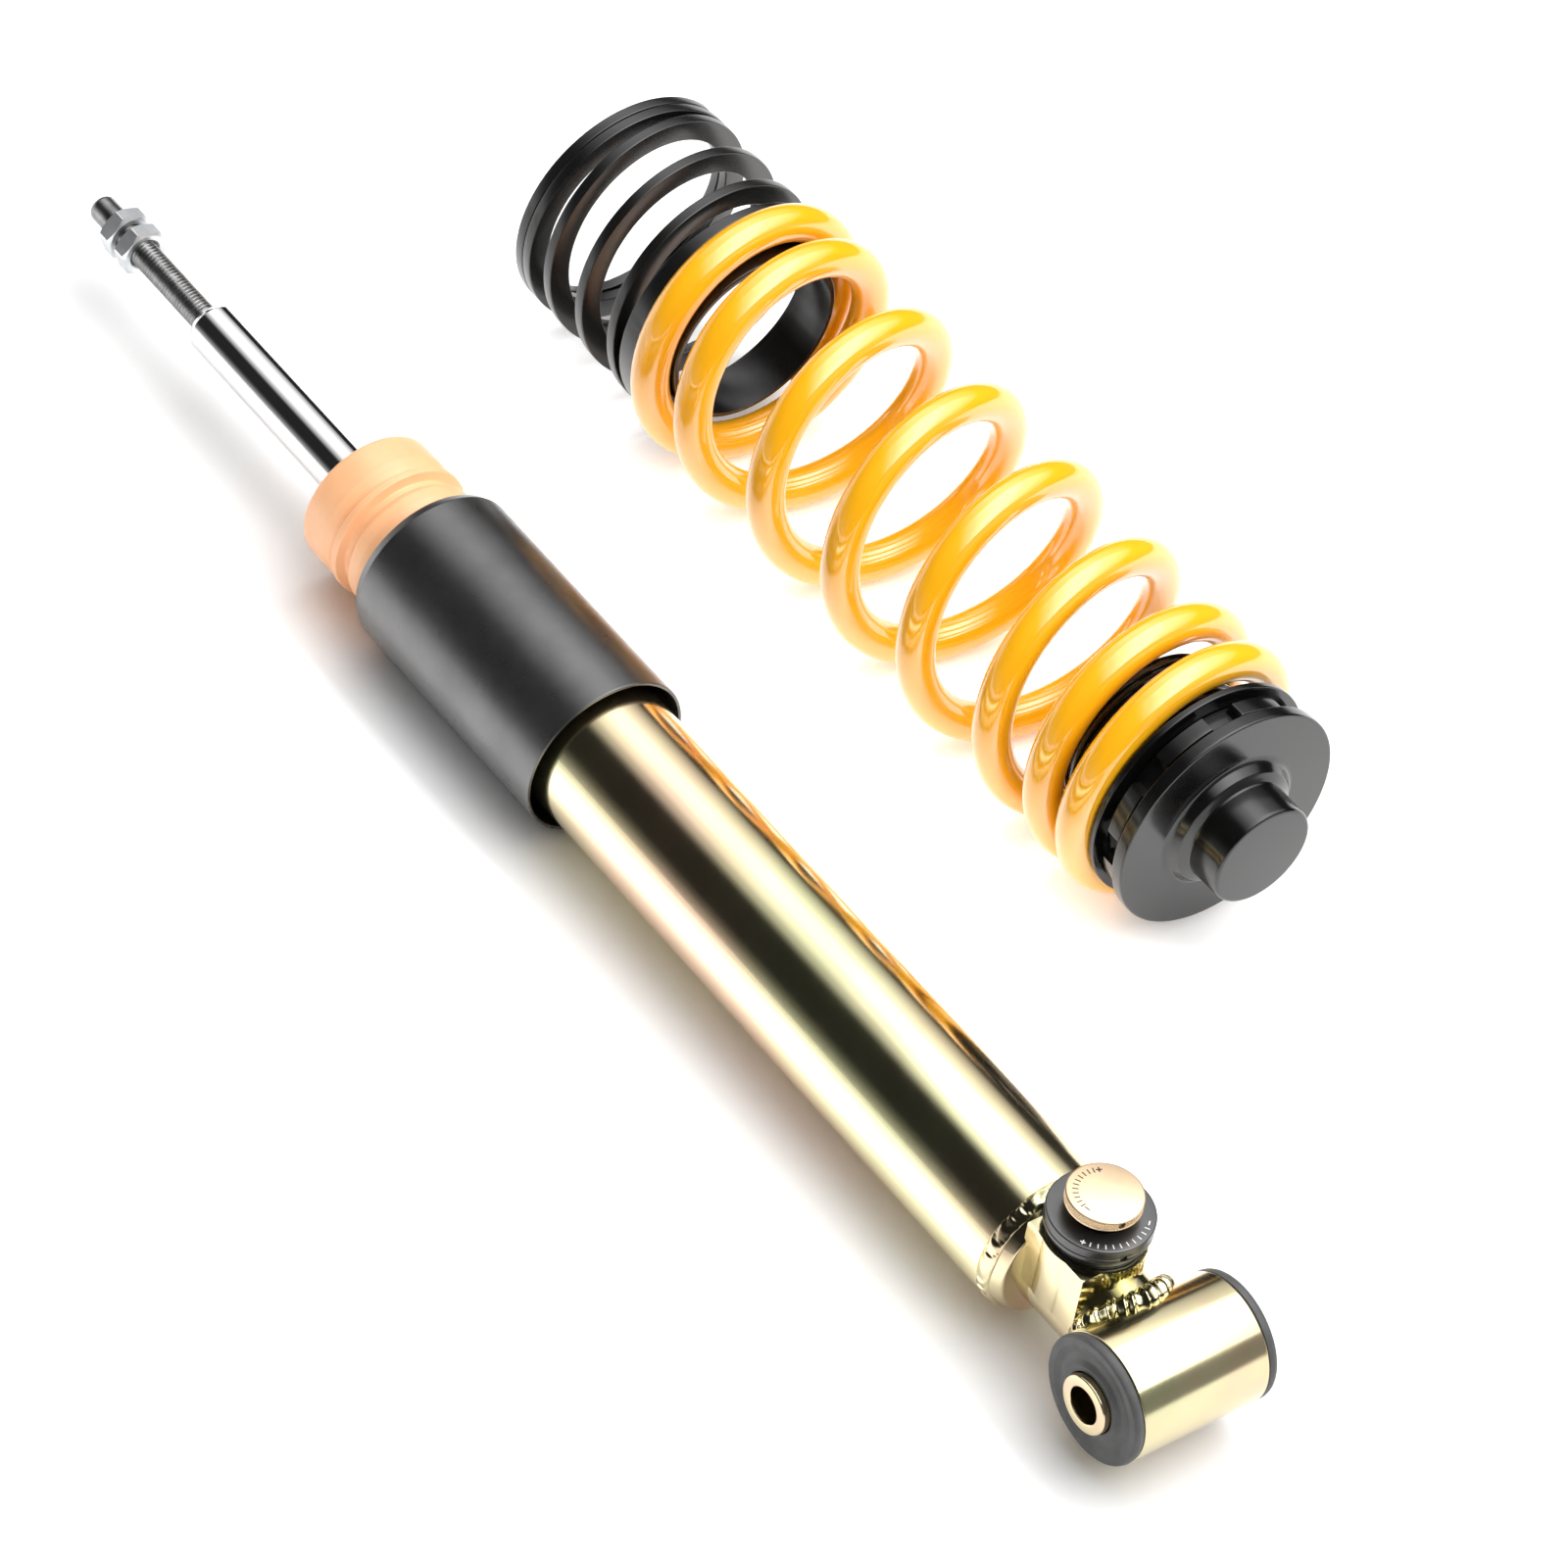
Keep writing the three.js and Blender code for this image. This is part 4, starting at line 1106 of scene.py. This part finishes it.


# ------------------------------------------------------------------ floor, light and camera
# How strongly the floor glows with painted light, by place across it and then along it, in metres.
DAMPER_Y, SPRING_Y = EYE.y, SPRING_AXIS.y
GLOW_REACH = 0.8
GLOW_ACROSS = (
    (DAMPER_Y - 0.55, 0.0), (DAMPER_Y - 0.3, 0.3), (DAMPER_Y - 0.16, 0.55), (DAMPER_Y - 0.09, 0.75),
    (DAMPER_Y - 0.055, 0.75), (DAMPER_Y - 0.04, 0.0), (DAMPER_Y + 0.04, 0.0),
    (DAMPER_Y + 0.07, 0.5), (SPRING_Y - 0.05, 0.9), (SPRING_Y - 0.01, 0.3), (SPRING_Y + 0.2, 0.0),
)
GLOW_ALONG = ((-0.72, 0.0), (-0.48, 1.0), (0.224, 1.0), (0.32, 0.0))
FAR_GLOW_DISTANCE = 4.0
FLOOR_REACH = 30.0


def glow(s, place, levels):
    """Brightness along one coordinate of the floor, from (metres, level) pairs."""
    share = s.node("MapRange", {"Value": place, "From Min": -GLOW_REACH, "From Max": GLOW_REACH})
    stops = [((at + GLOW_REACH) / (2 * GLOW_REACH), grey(level)) for at, level in levels]
    return s.ramp(share.outputs[0], *stops)


def floor_surface():
    """A pale floor, with a painted glow in two strips on the near sides of the damper and spring.

    Its painted glow rises again far away, where the lights no longer reach.
    """
    s = Surface("studio_floor", Specular_IOR_Level=0.2)
    s.shader.inputs["Emission Color"].default_value = (1, 1, 1, 1)
    split = s.node("SeparateXYZ", {0: s.place}).outputs
    # Painted glow: strips beside the damper and the spring, none just under the damper.
    near = s.arithmetic("MULTIPLY", glow(s, split[1], GLOW_ACROSS), glow(s, split[0], GLOW_ALONG))
    distance = s.node("VectorMath", {0: s.place}, operation="LENGTH").outputs["Value"]
    far = s.ramp(s.node("MapRange", {"Value": distance, "From Max": FAR_GLOW_DISTANCE}).outputs[0],
                 (0.25, grey(0)), (0.5, grey(0.55)), (1.0, grey(0.95)))
    s.link(
        Base_Color=s.ramp(s.noise((3, 3, 3), detail=3), (0.3, grey(0.93)), (0.7, grey(0.95))),
        Roughness=s.between(s.noise((5, 5, 5), detail=3), 0.75, 0.9),
        Emission_Strength=s.arithmetic("ADD", near, far),
    )
    return s.material


corners = [(x * FLOOR_REACH, y * FLOOR_REACH, 0) for x, y in ((-1, -1), (1, -1), (1, 1), (-1, 1))]
floor_mesh = bpy.data.meshes.new("floor")
floor_mesh.from_pydata(corners, [], [(0, 1, 2, 3)])
floor_mesh.materials.append(floor_surface())
floor = bpy.data.objects.new("floor", floor_mesh)
bpy.context.scene.collection.objects.link(floor)


def fade_light(light, *fades):
    """Varies a light's brightness over its face. A fade is an axis and (share, level) pairs."""
    light.use_nodes = True
    tree = light.node_tree
    where = tree.nodes.new("ShaderNodeNewGeometry").outputs["Parametric"]
    split = tree.nodes.new("ShaderNodeSeparateXYZ")
    tree.links.new(where, split.inputs[0])
    product = tree.nodes.new("ShaderNodeMath")
    product.operation = "MULTIPLY"
    product.inputs[0].default_value = product.inputs[1].default_value = 1.0
    for slot, (axis, levels) in enumerate(fades):
        if not levels:
            continue
        ramp = tree.nodes.new("ShaderNodeValToRGB")
        ramp.color_ramp.interpolation = "EASE"
        points = ramp.color_ramp.elements
        while len(points) < len(levels):
            points.new(0.5)
        for point, (position, level) in zip(points, levels):
            point.position = position
            point.color = (*grey(level), 1)
        tree.links.new(split.outputs[axis], ramp.inputs[0])
        tree.links.new(ramp.outputs[0], product.inputs[slot])
    tree.links.new(product.outputs[0], tree.nodes["Emission"].inputs["Strength"])


def soft_light(name, place, target, size, radiance, upward=(), sideways=(), diffuse_only=False):
    """A rectangular softbox. upward and sideways fade it over its height and its width."""
    light = bpy.data.lights.new(name, "AREA")
    light.shape = "RECTANGLE"
    light.size, light.size_y = size
    light.energy = radiance * math.pi * size[0] * size[1]
    if upward or sideways:
        fade_light(light, ("Y", upward), ("X", sideways))
    obj = bpy.data.objects.new(name, light)
    bpy.context.scene.collection.objects.link(obj)
    aim = (Vector(target) - Vector(place)).normalized()
    side = aim.cross(Vector((0, 0, 1)) if abs(aim.z) < 0.9 else Vector((0, 1, 0))).normalized()
    turn = Matrix((side, side.cross(aim), -aim)).transposed().to_4x4()
    obj.matrix_world = Matrix.Translation(place) @ turn
    obj.visible_camera = False
    obj.visible_glossy = not diffuse_only


# The room is nearly black to the object, and pale behind it.
world = bpy.data.worlds.new("studio")
bpy.context.scene.world = world
world.use_nodes = True
background = world.node_tree.nodes["Background"]
rays = world.node_tree.nodes.new("ShaderNodeLightPath")
shade = world.node_tree.nodes.new("ShaderNodeMix")
shade.data_type = "RGBA"
shade.inputs[6].default_value = (*grey(0.02), 1)
shade.inputs[7].default_value = (*grey(0.95), 1)
world.node_tree.links.new(rays.outputs["Is Camera Ray"], shade.inputs[0])
world.node_tree.links.new(shade.outputs[2], background.inputs[0])

soft_light("overhead_softbox", (-0.3, 1.0, 1.2), (-0.3, 1.0, 0), (3.9, 3.24), 4.4,
           upward=((0.0, 0.0), (0.03, 0.06), (0.09, 0.28), (0.17, 0.6), (0.26, 0.97),
                   (0.34, 1.0), (0.41, 0.9), (0.46, 0.62), (0.57, 0.48), (0.66, 0.34),
                   (0.83, 0.19), (1.0, 0.03)),
           sideways=((0.0, 0.38), (0.475, 0.42), (0.495, 1.0), (1.0, 1.0)))
soft_light("side_strip", (-0.9, -1.7, 0.5), (-0.9, 0, 0.5), (4.2, 1.0), 1.0,
           upward=((0.0, 0.5), (0.12, 0.36), (0.3, 0.22), (0.5, 0.07), (0.8, 0.0)))
soft_light("far_end_wall", (-1.9, -0.75, 0.3), (0, -0.75, 0.3), (1.9, 0.6), 0.7,
           upward=((0.0, 1.0), (0.5, 0.9), (1.0, 0.0)))
soft_light("end_wall", (1.6, 1.2, 0.7), (0, 1.2, 0.7), (2.6, 1.4), 0.28)
soft_light("fill", (0.3, -0.6, 2.6), (0, 0, 0), (3.5, 3.5), 1.0, diffuse_only=True)

CAMERA_PLACE = Vector((926.79, -1076.67, 1588.99))
CAMERA_TURN, CAMERA_HEIGHT, CAMERA_ROLL = (math.radians(a) for a in (-43.5658, 44.3558, 10.685))
QUARTER = math.pi / 2

camera = bpy.data.cameras.new("camera")
camera.sensor_width = 36
camera.lens = 165.47
camera.clip_end = 100
view = bpy.data.objects.new("camera", camera)
bpy.context.scene.collection.objects.link(view)
aim = (Matrix.Rotation(CAMERA_TURN + QUARTER, 4, "Z")
       @ Matrix.Rotation(QUARTER - CAMERA_HEIGHT, 4, "X")
       @ Matrix.Rotation(CAMERA_ROLL, 4, "Z"))
view.matrix_world = Matrix.Translation(EYE + CAMERA_PLACE * MM) @ aim
bpy.context.scene.camera = view
bpy.context.scene.view_settings.view_transform = "Standard"
